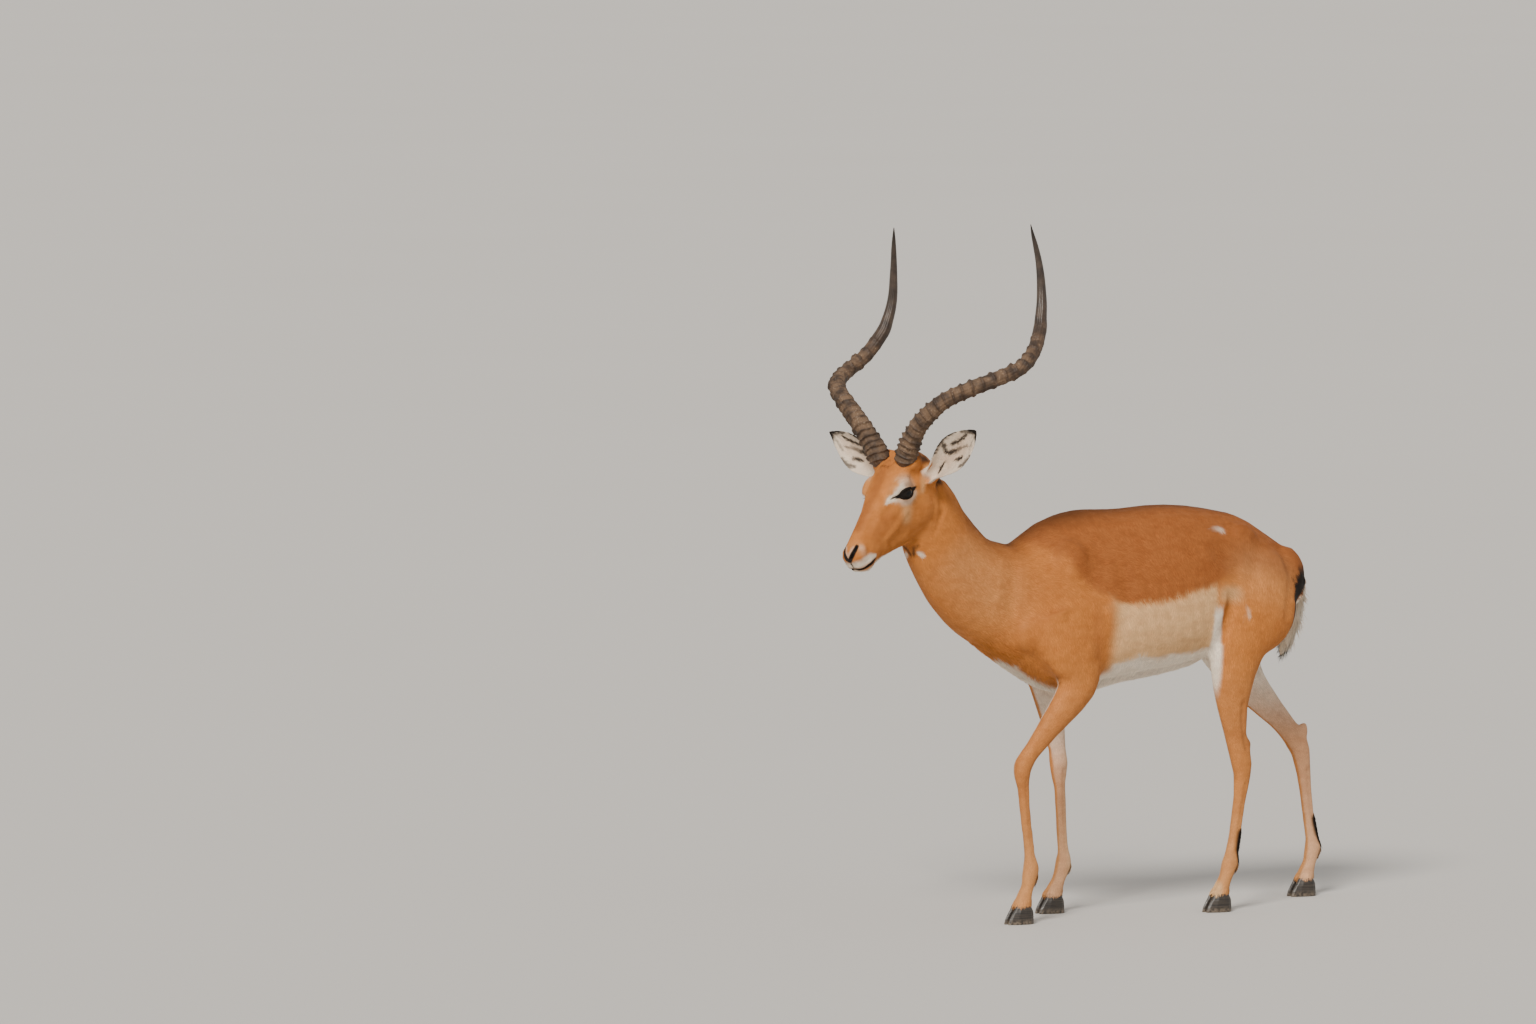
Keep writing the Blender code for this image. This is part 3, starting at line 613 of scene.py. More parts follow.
def lid_arcs():
    """The opening's two edges as arcs: radius, and height of the arc's middle."""
    arcs = []
    for rise, sign in ((LID_UPPER, 1), (LID_LOWER, -1)):
        radius = (LID_LONG**2 + rise**2) / (2 * rise)
        arcs.append((radius, sign * (rise - radius), sign))
    return arcs


def lid_gap(points, side):
    """Distance inside the lids' opening, and places in the eye's own axes."""
    centre, axes = eye_frame(side)
    rel = (points - centre) @ axes.T
    ahead, above, out = rel.T
    gaps = [radius - np.hypot(ahead - LID_SHIFT, above - height) for radius, height, _ in lid_arcs()]
    return np.where(out > 0, np.min(gaps, axis=0), -0.05), rel


def shape_lids(points, side):
    """Opens the lids over the eyeball, with a thick edge and a fold above and below."""
    gap, rel = lid_gap(points, side)
    centre, axes = eye_frame(side)
    out = spans(rel)
    fold = LID_FOLD * np.exp(-(((gap + 0.0052) / 0.0011) ** 2))
    goal = EYE_RADIUS + LID_EDGE - fold
    goal = goal + (EYE_RADIUS - 0.0030 - goal) * smooth(-0.0009, 0.0007, gap)
    share = smooth(-0.0085, -0.0035, gap) * ((out < 0.030) & (rel[:, 2] > 0.001))
    share *= smooth(0.001, 0.006, rel[:, 2])
    rel = rel * (1 + share * (goal / np.maximum(out, 1e-6) - 1))[:, None]
    return centre + rel @ axes


# ---- Nose and mouth ----

NOSTRIL = ((185, 5.5, -4, 3.4), (178, 10.5, 1.2, 3.8), (168, 14.2, 5.2, 3.4), (159.5, 15.8, 8.2, 2.4))
NOSE_WING = ((183, 11, -11, 5.5), (175, 16.5, -5, 6), (166, 19.5, -0.5, 5.5))
MOUTH = (
    (190, 0, -31, 3), (186, 11, -33.5, 3), (174, 21.5, -37.5, 2.8), (158, 26, -41.5, 2.6),
    (144, 27.5, -45, 2.2),
)
UPPER_LIP = ((188, 6, -25.5, 6), (176, 20.5, -31, 6.5), (156, 26.5, -36, 6))
LOWER_LIP = ((185, 5, -39, 5.5), (170, 19, -44.5, 6), (150, 24, -50, 5.5))


MUZZLE_RELIEF = (
    (1.2, *NOSE_WING),
    (1.0, *UPPER_LIP),
    (0.8, *LOWER_LIP),
    (-6.5, *NOSTRIL),
    (-3.2, *MOUTH),
    (-1.6, (187, 0, -12, 2.2), (190, 0, -30, 2.2)),
)


# ---- Markings ----

# Lines on the side view: the lower edge of the red saddle, and the upper edge of the white belly.
SADDLE_EDGE = (
    (-460, 830), (-360, 800), (-300, 788), (-245, 775), (-208, 750), (-186, 715), (-163, 690),
    (-110, 667), (-65, 660), (30, 671), (80, 682), (135, 697), (165, 714), (200, 724), (260, 716),
    (330, 700), (400, 680),
)
BELLY_EDGE = (
    (-300, 505), (-180, 518), (-133, 532), (-49, 545), (48, 552), (77, 556), (114, 559), (134, 564),
    (150, 572), (220, 600),
)

# The pale ring round the eye: angle up from the nose, reach, brightness and softness of its edge.
EYE_RING = (
    (-180, 27, 0.28, 6), (-146, 29, 0.62, 5), (-118, 26, 0.5, 5.5), (-67, 25.5, 0.52, 6.5),
    (-30, 27.5, 0.4, 6), (-14, 34, 0.5, 3.5), (-6, 52, 0.9, 3.5), (3, 44, 0.95, 3.2),
    (18, 31.5, 1, 3.2), (57, 24.5, 1, 4.5), (96, 30, 0.5, 10), (127, 34, 0.38, 11), (155, 31, 0.26, 10),
    (180, 27, 0.28, 6),
)
# Marks on the head, mirrored: kind, strength, softness, then the path.
HEAD_MARKS = (
    ("pale", 0.5, 0.95, (18, 46, -18, 9), (24, 46, -30, 12), (34, 43, -42, 11)),
    ("pale", 0.5, 0.9, (-82, 62, -2, 8), (-58, 56, -12, 7), (-35, 53, -30, 6)),
    ("white", 0.9, 0.6, (188, 0, -22, 8), (184, 13, -21, 9.2), (170, 21, -24, 10.5),
     (156, 24, -30, 8.8), (143, 26, -38, 4.5)),
    ("white", 0.26, 0.8, (157, 20.5, 0, 7), (163, 19, -10, 8.5)),
    ("white", 0.46, 0.7, (188, 2, -4, 6), (178, 8, 10, 5.5), (166, 12, 13, 4.5)),
    ("pale", 0.12, 0.8, (165, 0, 16, 14), (160, 18, 2, 12)),
    ("white", 0.92, 0.35, (186, 0, -44, 11), (164, 10, -54, 14), (130, 6, -68, 12), (60, 0, -110, 10)),
    ("white", 0.8, 0.55, (36, 20, -147, 5.2), (40, 16, -140, 4.8)),
    ("black", 0.75, 0.7, (32, 19, -126, 3.8), (38, 10, -127, 4.2), (42, 4, -140, 3.4)),
    # painted shadow along the lower edge of the jaw
    ("black", 0.38, 0.9, (142, 26, -50, 3.6), (100, 22, -76, 4.6), (55, 18, -106, 5)),
    ("red", 0.7, 0.7, (-40, 0, 48, 19), (30, 0, 38, 14), (120, 0, 22, 10)),
    ("red", 0.4, 0.8, (60, 34, -10, 16), (110, 28, -8, 12)),
    ("black", 0.55, 0.7, (-30, 8, 46, 4.5), (-46, 4, 47, 6)),
    ("black", 0.8, 0.8, (-76, 48, 26, 8), (-90, 44, 12, 10), (-104, 40, -4, 7)),
    ("black", 0.92, 0.6, (-104, 40, -66, 7.5), (-82, 51, -56, 8.5)),
    ("black", 1.0, 0.25, (186.5, 0, -10, 4.4), (185, 4.5, -4.5, 5.2), (178, 10, 1.2, 5.6),
     (168, 13.8, 5.2, 5.2), (159, 15.4, 8.5, 4), (156.5, 16.5, 11.5, 2.4)),
    ("black", 1.0, 0.25, (177, 7, -3.5, 5.6), (167, 9.5, 0, 5.2), (159.5, 11.5, 3, 3.4)),
    ("black", 1.0, 0.3, (187.5, 0, -8, 3.4), (189, 0, -31, 3)),
)
NOSE_ROW = -3  # the row of the black skin round the nostrils, where no hair grows
# The same in the eye's own axes.
EYE_MARKS = (
    ("black", 1.0, 0.3, (37, 1, 0, 1.4), (27, 1.2, 0, 3.2), (15, 0, 0, 6.6)),
    ("black", 1.0, 0.3, (-14, 0, 0, 6.8), (-24, -0.5, 0, 4.2), (-32, -1, 0, 1.6)),
    ("black", 0.45, 0.9, (-4, 15, 0, 5), (-18, 12, 0, 6)),
)
# The same on the body, and the scars on its left side alone.
BODY_MARKS = (
    ("white", 1.0, 0.35, (-330, 0, 535, 24), (-240, 0, 485, 34), (-170, 0, 470, 46)),
    ("white", 0.75, 0.4, (-318, 30, 532, 10)),
    ("red", 0.28, 0.98, (-280, 80, 730, 60), (-180, 110, 715, 55)),
    ("red", 0.24, 0.95, (320, 80, 760, 50), (370, 70, 690, 40)),
    ("red", 0.6, 0.95, (-520, 20, 915, 45), (-440, 20, 840, 50), (-360, 20, 800, 45)),
    ("black", 0.62, 0.92, (-330, 0, 800, 26), (-240, 0, 850, 36), (-140, 0, 862, 36)),
    ("black", 0.54, 0.92, (-140, 0, 862, 34), (100, 0, 866, 32), (280, 0, 845, 28)),
    ("pale", 0.2, 0.98, (-560, 45, 850, 40), (-480, 60, 770, 60), (-400, 70, 700, 70)),
    # painted light: a paler patch where the light falls on the upper rump
    ("pale", 0.16, 0.95, (230, 110, 720, 50), (300, 100, 690, 50)),
    # a brown band behind the shoulder: partly the saddle's own red, partly painted shade in the hollow
    # there
    ("red", 0.5, 0.95, (-168, 120, 720, 12), (-160, 125, 640, 14), (-155, 115, 560, 12)),
)
SCARS = (
    ("white", 0.55, 0.6, (150, -88, 815, 5), (172, -86, 809, 8)),
    ("white", 0.35, 0.6, (205, -139, 640, 5), (209, -139, 628, 4)),
)


def ripple(points, scale, seed):
    """Slow even noise between -1 and 1, from a few crossed waves."""
    source = np.random.default_rng(seed)
    total = np.zeros(len(points))
    for _ in range(6):
        way = source.normal(size=3)
        way *= source.uniform(0.7, 1.5) / np.linalg.norm(way) / scale
        total += np.sin(points @ way * 2 * math.pi + source.uniform(0, 6.28))
    return total / 3.2


def above_edge(across, up, rows):
    """Distance above a line on the side view, negative below it."""
    rows = mm(rows)
    best = np.full(len(across), AWAY)
    for a, b in zip(rows, rows[1:]):
        step = b - a
        t = np.clip(((across - a[0]) * step[0] + (up - a[1]) * step[1]) / (step @ step), 0, 1)
        best = np.minimum(best, np.hypot(across - a[0] - t * step[0], up - a[1] - t * step[1]))
    return np.where(up > np.interp(across, rows[:, 0], rows[:, 1]), best, -best)


KINDS = ("red", "pale", "white", "black")


class Marks:
    """Shares of red, pale, white and black at each place."""

    def __init__(self, count):
        for kind in KINDS:
            setattr(self, kind, np.zeros(count))

    def add(self, kind, share, where=True):
        now = getattr(self, kind)
        setattr(self, kind, np.where(where, np.maximum(now, share), now))

    def paths(self, places, rows, where=True):
        for kind, strength, soft, *path in rows:
            self.add(kind, strength * paint(places, mm(path), soft), where)


def thigh_front(y, z):
    """Where the front edge of each thigh lies. The right leg is swung back."""
    return 0.130 + 0.06 * (0.64 - z) + 0.153 * np.clip((0.66 - z) / 0.20, 0, 1) * (y > 0)


def body_marks(points, normals):
    """The body's markings: red saddle, pale flank, white belly, and black lines and feet; among them
    painted shade behind the shoulders and painted light on the rump.
    """
    made = Marks(len(points))
    x, y, z = place = on_body(points).T
    wide = abs(y)
    uneven = ripple(points, 0.06, 3) * 0.004 + ripple(points, 0.013, 4) * 0.0022
    rise = above_edge(x, z, SADDLE_EDGE) + uneven
    soft = 0.007 + 0.022 * smooth(0.13, 0.21, x) + 0.016 * smooth(-0.14, -0.22, x)
    made.add("red", smooth(-soft, soft, rise))
    made.add("red", 0.62 * smooth(0.30, 0.95, normals[:, 2]) * smooth(-0.05, -0.20, x))
    flank = smooth(-0.138, -0.098, x) * smooth(0.010, -0.006, x - thigh_front(y, z))
    made.add("pale", flank * smooth(soft, -soft, rise))
    made.add("pale", 0.75 * band(x, 0.12, 0.15, 0.17, 0.22) * smooth(0.03, 0.0, abs(z - 0.675)))
    outer = smooth(0.078, 0.100, wide)
    aside = np.maximum(smooth(0.125, 0.145, x), smooth(-0.100, -0.120, x)) * outer
    under = smooth(-0.19, -0.14, x) * (1 - aside) * smooth(0.38, 0.34, x)
    belly = above_edge(x, z, BELLY_EDGE) + uneven
    made.add("white", under * smooth(0.006, -0.006, belly) * smooth(0.42, 0.46, z))
    made.paths(folded(place.T), BODY_MARKS)
    made.paths(place.T, SCARS)
    leg_marks(made, points, normals)
    rump_marks(made, place, normals, uneven)
    return made


def leg_marks(made, points, normals):
    """White inner sides and hind front edges, paler shins and the black glands."""
    x, y, z = on_body(points).T
    for leg, rows in LEG_LINES.items():
        side = -1 if leg.endswith("left") else 1
        fore = leg.startswith("fore")
        low = rows[::-1] - (*SHIFT, 0, 0)
        at_y = np.interp(z, low[:, 2], low[:, 1])
        own = (y * side > -0.005) & (z < 0.66) & ((x < 0.02) if fore else (x > 0.08))
        own &= (z < 0.56) | (x > -0.26)
        inner = smooth(0.05, 0.50, -normals[:, 1] * side) * smooth(-0.002, 0.006, (at_y - y) * side)
        inner *= 0.20 + 0.80 * smooth(*((0.26, 0.46) if fore else (0.33, 0.53)), z)
        made.add("white", inner * (0.90 if fore else 1 - smooth(0.60, 0.66, z)), own)
        made.add("pale", 0.10 * smooth(0.58, 0.42, z) + 0.24 * smooth(0.30, 0.10, z), own)
        if fore:
            continue
        behind = x - thigh_front(y, z)
        strip = 0.006 + 0.008 * smooth(0.44, 0.60, z)
        front = smooth(-0.012, -0.004, behind) * smooth(0.006, -0.004, behind - strip)
        made.add("white", front * band(z, 0.42, 0.50, 0.635, 0.655), own)
        ends = leg_at(leg, 0.165), leg_at(leg, 0.118)
        gland = [(a[0] + a[2] * 0.9, a[1], h, 0.0150) for a, h in zip(ends, (0.165, 0.120))]
        made.add("black", paint(points, np.array(gland), 0.25))


def rump_marks(made, place, normals, uneven):
    """White between the buttocks' black stripes, and the tail's black line."""
    x, y, z = place
    wide = abs(y)
    stripe = np.interp(z, (0.54, 0.60, 0.66, 0.72, 0.76), (0.084, 0.090, 0.082, 0.068, 0.055)) + uneven
    behind = (x > 0.27) & between(z, 0.50, 0.78)
    facing = smooth(0.05, 0.30, normals[:, 0])
    tall = band(z, 0.545, 0.575, 0.705, 0.735)
    made.add("white", facing * smooth(0.0, -0.006, wide - stripe) * smooth(0.735, 0.715, z), behind)
    black = smooth(0.0125, 0.0095, abs(wide - stripe - 0.012)) * tall * smooth(-0.10, 0.15, normals[:, 0])
    made.add("black", black, behind)
    tail = (x > 0.385 - 0.018 * smooth(0.62, 0.57, z)) & (wide < 0.030) & (z < 0.77)
    dock = smooth(0.665, 0.715, z)
    line = smooth(0.0075, 0.0045, wide - 0.004 * dock) * smooth(0.600, 0.625, z)
    line *= smooth(0.0, 0.3, normals[:, 0])
    made.white = np.where(tail, 1 - dock * smooth(0.020, 0.012, wide), made.white)
    made.black = np.where(tail, line, made.black)
    made.red = np.where(tail, 0.8 * dock, made.red)


def head_marks(points):
    """The face's marks, the pale ring and the black corners of each eye, and the mouth."""
    made = Marks(len(points))
    ragged = ripple(points, 0.012, 5)
    angles, *ring = (np.array(EYE_RING) / (1, 1000, 1, 1000)).T
    for side in (1, -1):
        gap, rel = lid_gap(points, side)
        out = np.hypot(rel[:, 0], rel[:, 1])
        angle = np.degrees(np.arctan2(rel[:, 1], rel[:, 0]))
        close = (rel[:, 2] > -0.026) & (out < 0.075)
        far, bright, soft = (np.interp(angle, angles, row) for row in ring)
        made.add("white", bright * smooth(far + soft, far - soft, out + ragged * 0.0012), close)
        made.add("pale", 0.6 * bright * smooth(far + 0.012, far - 0.004, out), close)
        made.paths(rel * (1, 1, 0), EYE_MARKS, close)
        made.add("black", smooth(-0.0048, -0.0036, gap + ragged * 0.0003), close & (rel[:, 2] > 0))
    face = folded(on_head(points))
    made.paths(face, HEAD_MARKS)
    made.paths(face, (("black", 1.0, 0.4, *((*row[:3], 4) for row in MOUTH)),))
    return made


EAR_LONG = 0.185
EAR_WIDE = 0.033
# Dark marks in the ear: strength, softness, and a path of share of the ear's length, place across
# it (towards the horn is 1) and radius.
EAR_MARKS = (
    (0.95, 0.5, (0.81, 0.35, 2.6), (0.74, 0.33, 3.6), (0.66, 0.38, 3.6), (0.54, 0.52, 2.8)),
    (0.9, 0.5, (0.52, 0.93, 3), (0.46, 0.78, 3.6), (0.4, 0.52, 4.2)),
    (0.95, 0.5, (0.4, 0.5, 4.2), (0.44, 0.27, 5.4), (0.52, 0.12, 4.4)),
    (0.7, 0.65, (0.52, 0.12, 4), (0.6, 0.03, 3.4), (0.67, -0.12, 2.8), (0.73, -0.28, 1.8)),
    (0.95, 0.5, (0.57, -0.47, 2.6), (0.5, -0.4, 4.4), (0.44, -0.32, 3)),
    (1.0, 0.45, (0.28, 0.14, 3.4), (0.215, 0.05, 4.6), (0.15, -0.25, 3.6)),
    (0.8, 0.6, (0.49, -0.83, 2.6), (0.6, -0.92, 3.6), (0.72, -1, 3.6)),
    (0.5, 0.75, (0.87, -0.28, 2.2), (0.8, -0.4, 2.6), (0.73, -0.52, 2.2)),
    (0.85, 0.6, (0.92, 0.05, 3.6), (0.86, 0.45, 4.4), (0.79, 0.74, 3.6)),
    (0.95, 0.45, (0.18, 1.05, 2.6), (0.35, 1.05, 4.4), (0.5, 1.02, 3.6), (0.8, 1, 4.4)),
)


def ear_marks(made, points, normals):
    """Pale cups with dark streaks, a dark edge towards the horn and black tips."""
    ragged = ripple(points, 0.010, 6)
    fine = ripple(points, 0.004, 7)
    for side in (1, -1):
        share, ahead, across = ear_places(points, side)
        leaf = on_leaf(share, ahead, across)
        inner = leaf & (normals @ ear_frame(side)[2] > 0.05)
        place = -side * across / leaf_half(share)
        for kind in KINDS[:3]:
            setattr(made, kind, np.where(leaf & (share > 0.16), 0, getattr(made, kind)))
        deep = smooth(0.80, 0.20, abs(place)) * band(share, 0.15, 0.35, 0.65, 0.95)
        made.add("pale", 0.6 * smooth(0.0, 0.08, share), inner)
        made.add("white", (0.86 - 0.20 * deep) * smooth(0.0, 0.08, share), inner)
        flat = np.column_stack((share * EAR_LONG, place * EAR_WIDE, np.zeros(len(share))))
        flat[:, 1] += ragged * 0.0017 + fine * 0.0010
        for strength, soft, *path in EAR_MARKS:
            rows = [(row[0] * EAR_LONG, row[1] * EAR_WIDE, 0.0, row[2] / 1000) for row in path]
            edge = path[0][1] > 1
            made.add("black", strength * paint(flat, np.array(rows), soft), leaf if edge else inner)
        start = 0.90 - 0.08 * smooth(0.2, 0.9, place) - 0.04 * smooth(0.2, 0.9, -place)
        made.add("black", smooth(-0.025, 0.025, share - start + ragged * 0.012), leaf)


def markings(points, normals):
    """Shares of red saddle, pale flank, white and black at each place."""
    body, head = body_marks(points, normals), head_marks(points)
    ear_marks(head, points, normals)
    face = on_head(points)
    share = smooth(-0.14, -0.10, face[:, 0]) * smooth(-0.21, -0.15, face[:, 2])
    share = np.maximum(share, ear_share(points))
    rows = [blend(getattr(body, kind), getattr(head, kind), share) for kind in KINDS]
    return np.clip(np.column_stack(rows), 0, 1)


# ---- Lie of the coat ----

REGIONS = ("face", "ears", "neck", "shoulders", "flanks", "rump", "forelegs", "hind_legs", "tail")


def flow_lines():
    """Lines that the hair follows: region, start, end, and how far round them they reach."""
    lines = []

    def add(region, start, stop, radius):
        lines.append((REGIONS.index(region), np.array(start), np.array(stop), radius))

    def spot(x, y, z):
        return Vector((x, y, z)) + SHIFT

    add("face", head_place(0.18, 0, -0.02), head_place(0.08, 0, -0.02), 0.03)
    add("face", head_place(0.08, 0, -0.02), head_place(-0.09, 0, -0.03), 0.05)
    add("face", head_place(0.10, 0, -0.05), head_place(-0.02, 0, -0.09), 0.045)
    add("neck", head_place(-0.08, 0, -0.06), spot(-0.530, -0.034, 0.865), 0.055)
    add("neck", spot(-0.530, -0.034, 0.865), spot(-0.469, -0.020, 0.768), 0.065)
    add("neck", spot(-0.469, -0.020, 0.768), spot(-0.376, -0.004, 0.695), 0.075)
    add("neck", spot(-0.376, 0, 0.695), spot(-0.290, 0, 0.640), 0.085)
    add("shoulders", spot(-0.300, 0, 0.720), spot(-0.080, 0, 0.690), 0.10)
    for side in (1, -1):
        add("shoulders", spot(-0.250, 0.08 * side, 0.640), spot(-0.205, 0.088 * side, 0.520), 0.05)
        add("rump", spot(0.260, 0.07 * side, 0.720), spot(0.250, 0.09 * side, 0.560), 0.07)
        root, out, _, _ = ear_frame(side)
        add("ears", root + out * 0.15, root + out, 0.018)
    add("flanks", spot(-0.080, 0, 0.680), spot(0.170, 0, 0.685), 0.12)
    add("rump", spot(0.170, 0, 0.700), spot(0.370, 0, 0.700), 0.10)
    for leg in LEGS:
        region = "forelegs" if leg.startswith("fore") else "hind_legs"
        rows = LEG_LINES[leg]
        for a, b in zip(rows[::3], rows[3::3]):
            add(region, a[:3], b[:3], 0.02)
        add(region, rows[-4, :3], rows[-1, :3], 0.02)
    tail = ((0.405, 0.735), (0.428, 0.680), (0.420, 0.630), (0.388, 0.545))
    for (a, top), (b, end) in zip(tail, tail[1:]):
        add("tail", spot(a, 0, top), spot(b, 0, end), 0.012)
    return lines


def lie(points, normals):
    """The way the hair lies at each place, and the region it belongs to."""
    total = np.zeros_like(points)
    best = np.full(len(points), -1.0)
    label = np.zeros(len(points), int)
    for region, start, stop, radius in flow_lines():
        step = stop - start
        t = np.clip((points - start) @ step / (step @ step), 0, 1)
        apart = spans(points - start - t[:, None] * step)
        weight = (np.exp(-np.maximum(apart - radius, 0) / 0.010) + 1e-9) * np.exp(-apart / 0.2)
        total += weight[:, None] * step / np.linalg.norm(step)
        label = np.where(weight > best, region, label)
        best = np.maximum(best, weight)
    low = on_body(points)[:, 2] < 0.60
    trunk = np.isin(label, [REGIONS.index(name) for name in ("shoulders", "flanks", "rump")])
    total[:, 2] -= np.where(trunk, 0.35 * (1 - abs(normals[:, 2])) + 0.25 * low, 0)
    total = unit(total)
    swirl = ripple(points, 0.045, 21)[:, None] * 0.16 + ripple(points, 0.012, 22)[:, None] * 0.12
    total += np.cross(normals, total) * swirl
    return unit(total - normals * dots(total, normals)), label


# ---- Tufts ----


class Surface:
    """The finished skin as arrays: corners, normals, unwrap and areas of its faces."""

    def __init__(self, mesh):
        self.points = corners_of(mesh)
        self.normals = normals_of(mesh)
        self.faces = numbers(mesh.polygons, "vertices", 3)
        self.unwrap = vectors(mesh.uv_layers["OFBake"].uv, "vector", 2).reshape(-1, 3, 2)
        corners = self.points[self.faces]
        cross = np.cross(corners[:, 1] - corners[:, 0], corners[:, 2] - corners[:, 0])
        self.areas = spans(cross) / 2
        self.middles = corners.mean(1)
        self.facing = cross / (spans(cross)[:, None] + 1e-15)

    def roots(self, density, seed):
        """Root places spread over the surface at so many to the square metre, none where it's bare."""
        source = np.random.default_rng(seed)
        need = np.cumsum(self.areas * density)
        count = int(need[-1])
        at = (np.arange(count) + source.uniform(0, 1, count)) * (need[-1] / count)
        face = np.minimum(np.searchsorted(need, at), len(need) - 1)
        u, v = source.uniform(0, 1, (2, count))
        flip = u + v > 1
        u, v = np.where(flip, 1 - u, u), np.where(flip, 1 - v, v)
        parts = np.column_stack((1 - u - v, u, v))[:, :, None]
        points = (self.points[self.faces[face]] * parts).sum(1)
        normals = unit((self.normals[self.faces[face]] * parts).sum(1))
        keep = ~bare(points)
        return points[keep], normals[keep], (self.unwrap[face] * parts).sum(1)[keep]


def bare(points):
    """True where no hair grows: the eyes' opening, the nostrils, the nose and the mouth."""
    face = folded(on_head(points))
    found = reach(face, mm(HEAD_MARKS[NOSE_ROW][3:])) < 0.95
    found |= reach(face, mm(MOUTH) * (1, 1, 1, 0.7)) < 1
    found |= reach(face, mm(NOSTRIL)) < 1.2
    for side in (1, -1):
        gap, rel = lid_gap(points, side)
        found |= (gap > -0.0024) & (spans(rel) < 0.03)
    return found


Tuft = namedtuple("Tuft", "faces corners turns rise")  # rise: the share of the length at each corner


def short_kind():
    """A flat lock: two sunk corners, a raised crest and a tip."""
    faces = ((0, 1, 2), (0, 2, 3), (2, 1, 3), (1, 0, 3))
    corners = ((0, 0), (1, 0), (0.5, 0.45), (0.5, 1))
    return Tuft(np.array(faces), corners, (0.30, -0.30, 0.0, 0.0), (0.0, 0.0, 0.5, 1.0))


def long_kind():
    """A three-sided lock in three stretches: a foot, two rows of side faces, and a tip."""
    faces = [(0, 2, 1)]
    for low in (0, 3):
        for i, j in ((0, 1), (1, 2), (2, 0)):
            faces += [(low + i, low + j, low + 3 + j), (low + i, low + 3 + j, low + 3 + i)]
    faces += [(6, 7, 9), (7, 8, 9), (8, 6, 9)]
    corners = tuple((u, row / 3) for row in range(3) for u in (0, 1, 0.5)) + ((0.5, 1),)
    rise = (0, 0, 0.1, 0.34, 0.34, 0.4, 0.68, 0.68, 0.75, 1.0)
    return Tuft(np.array(faces)[:, ::-1], corners, (0.45, -0.45, 0.0) * 3 + (0.0,), rise)


SHORT, LONG = short_kind(), long_kind()
PATCH = 0.003  # how wide each tuft's patch is on the unwrap


def strand_values(roots, kind, seed):
    """For each tuft a shade of its own, and the share of its length at each corner."""
    source = np.random.default_rng(seed)
    shade = np.clip(0.5 + ripple(roots, 0.02, 31) * 0.25 + source.normal(0, 0.22, len(roots)), 0, 1)
    out = np.ones((len(roots), len(kind.rise), 4))
    out[:, :, 0] = shade[:, None]
    out[:, :, 1] = kind.rise
    out[:, :, 2] = source.uniform(0, 1, len(roots))[:, None]
    return out


def solid(name, points, kind, roots, normals, unwrap, marks, seed, finish):
    """One piece of many closed tufts, with their patches and colours. They take their shading
    normals from the skin, turned aside a little at their edges, so that the coat shades softly."""
    points[:, :, 2] = np.maximum(points[:, :, 2], FLOOR_GAP)
    mesh = bpy.data.meshes.new(name)
    count, corners = points.shape[:2]
    mesh.vertices.add(count * corners)
    mesh.vertices.foreach_set("co", points.astype(np.float32).ravel())
    index = (kind.faces[None] + (np.arange(count) * corners)[:, None, None]).reshape(-1, 3)
    mesh.loops.add(index.size)
    mesh.loops.foreach_set("vertex_index", index.astype(np.int32).ravel())
    mesh.polygons.add(len(index))
    mesh.polygons.foreach_set("loop_start", np.arange(0, index.size, 3, dtype=np.int32))
    mesh.polygons.foreach_set("use_smooth", np.ones(len(index), bool))
    mesh.update(calc_edges=True)
    patches = np.clip(unwrap[:, None] + (np.array(kind.corners) - 0.5) * PATCH, 0.0005, 0.9995)
    layer = mesh.uv_layers.new(name="OFBake")
    layer.uv.foreach_set("vector", patches.reshape(-1, 2)[index.ravel()].astype(np.float32).ravel())
    colour_layer(mesh, "marks", np.repeat(marks[:, None], corners, axis=1))
    colour_layer(mesh, "strand", strand_values(roots, kind, seed))
    aside = unit(points[:, 0] - points[:, 1])
    shading = normals[:, None] + aside[:, None] * np.array(kind.turns)[None, :, None]
    shading /= np.linalg.norm(shading, axis=2)[..., None]
    mesh.normals_split_custom_set_from_vertices(shading.reshape(-1, 3))
    finished(linked(name, mesh), finish, "coat")


def turned(normals, ways, turn):
    """The hairs' ways turned on the skin by so much each, and the ways across them."""
    ways = ways * np.cos(turn)[:, None] + np.cross(normals, ways) * np.sin(turn)[:, None]
    return ways, np.cross(normals, ways)


def settled(points, tree, corner, height):
    """Puts one corner of each tuft at its height over the skin under it."""
    found = [tree.find_nearest(spot)[:2] for spot in points[:, corner]]
    place, normal = (np.array(part) for part in zip(*found))
    points[:, corner] = place + normal * np.reshape(height, (-1, 1))


CREST_AT = 0.42  # the crest's place, in shares of the lock's length
CREST_RISE = 0.07  # and its height, in shares of the lock's width


def short_tufts(roots, normals, ways, length, width, lift, seed, tree):
    """A flat lock for each root: two sunk corners, a raised crest and a fine tip."""
    source = np.random.default_rng(seed)
    count = len(roots)
    length = (length * source.uniform(0.75, 1.25, count))[:, None]
    width = (width * source.uniform(0.8, 1.2, count))[:, None]
    lift = lift * source.uniform(0.5, 1.5, count)
    ways, across = turned(normals, ways, source.normal(0, 0.13, count))
    side, reached = across * width / 2, ways * length
    points = np.stack((roots + side, roots - side, roots + reached * CREST_AT, roots + reached), 1)
    for corner, height in enumerate((-0.0001, -0.0001, 0.00005 + width * CREST_RISE, lift)):
        settled(points, tree, corner, height)
    root = (points[:, 0] + points[:, 1]) / 2
    over = dots(points[:, 2] - root - CREST_AT * (points[:, 3] - root), normals)
    points[:, 2] += normals * np.maximum(0.00004 + width * CREST_RISE - over, 0)
    return points


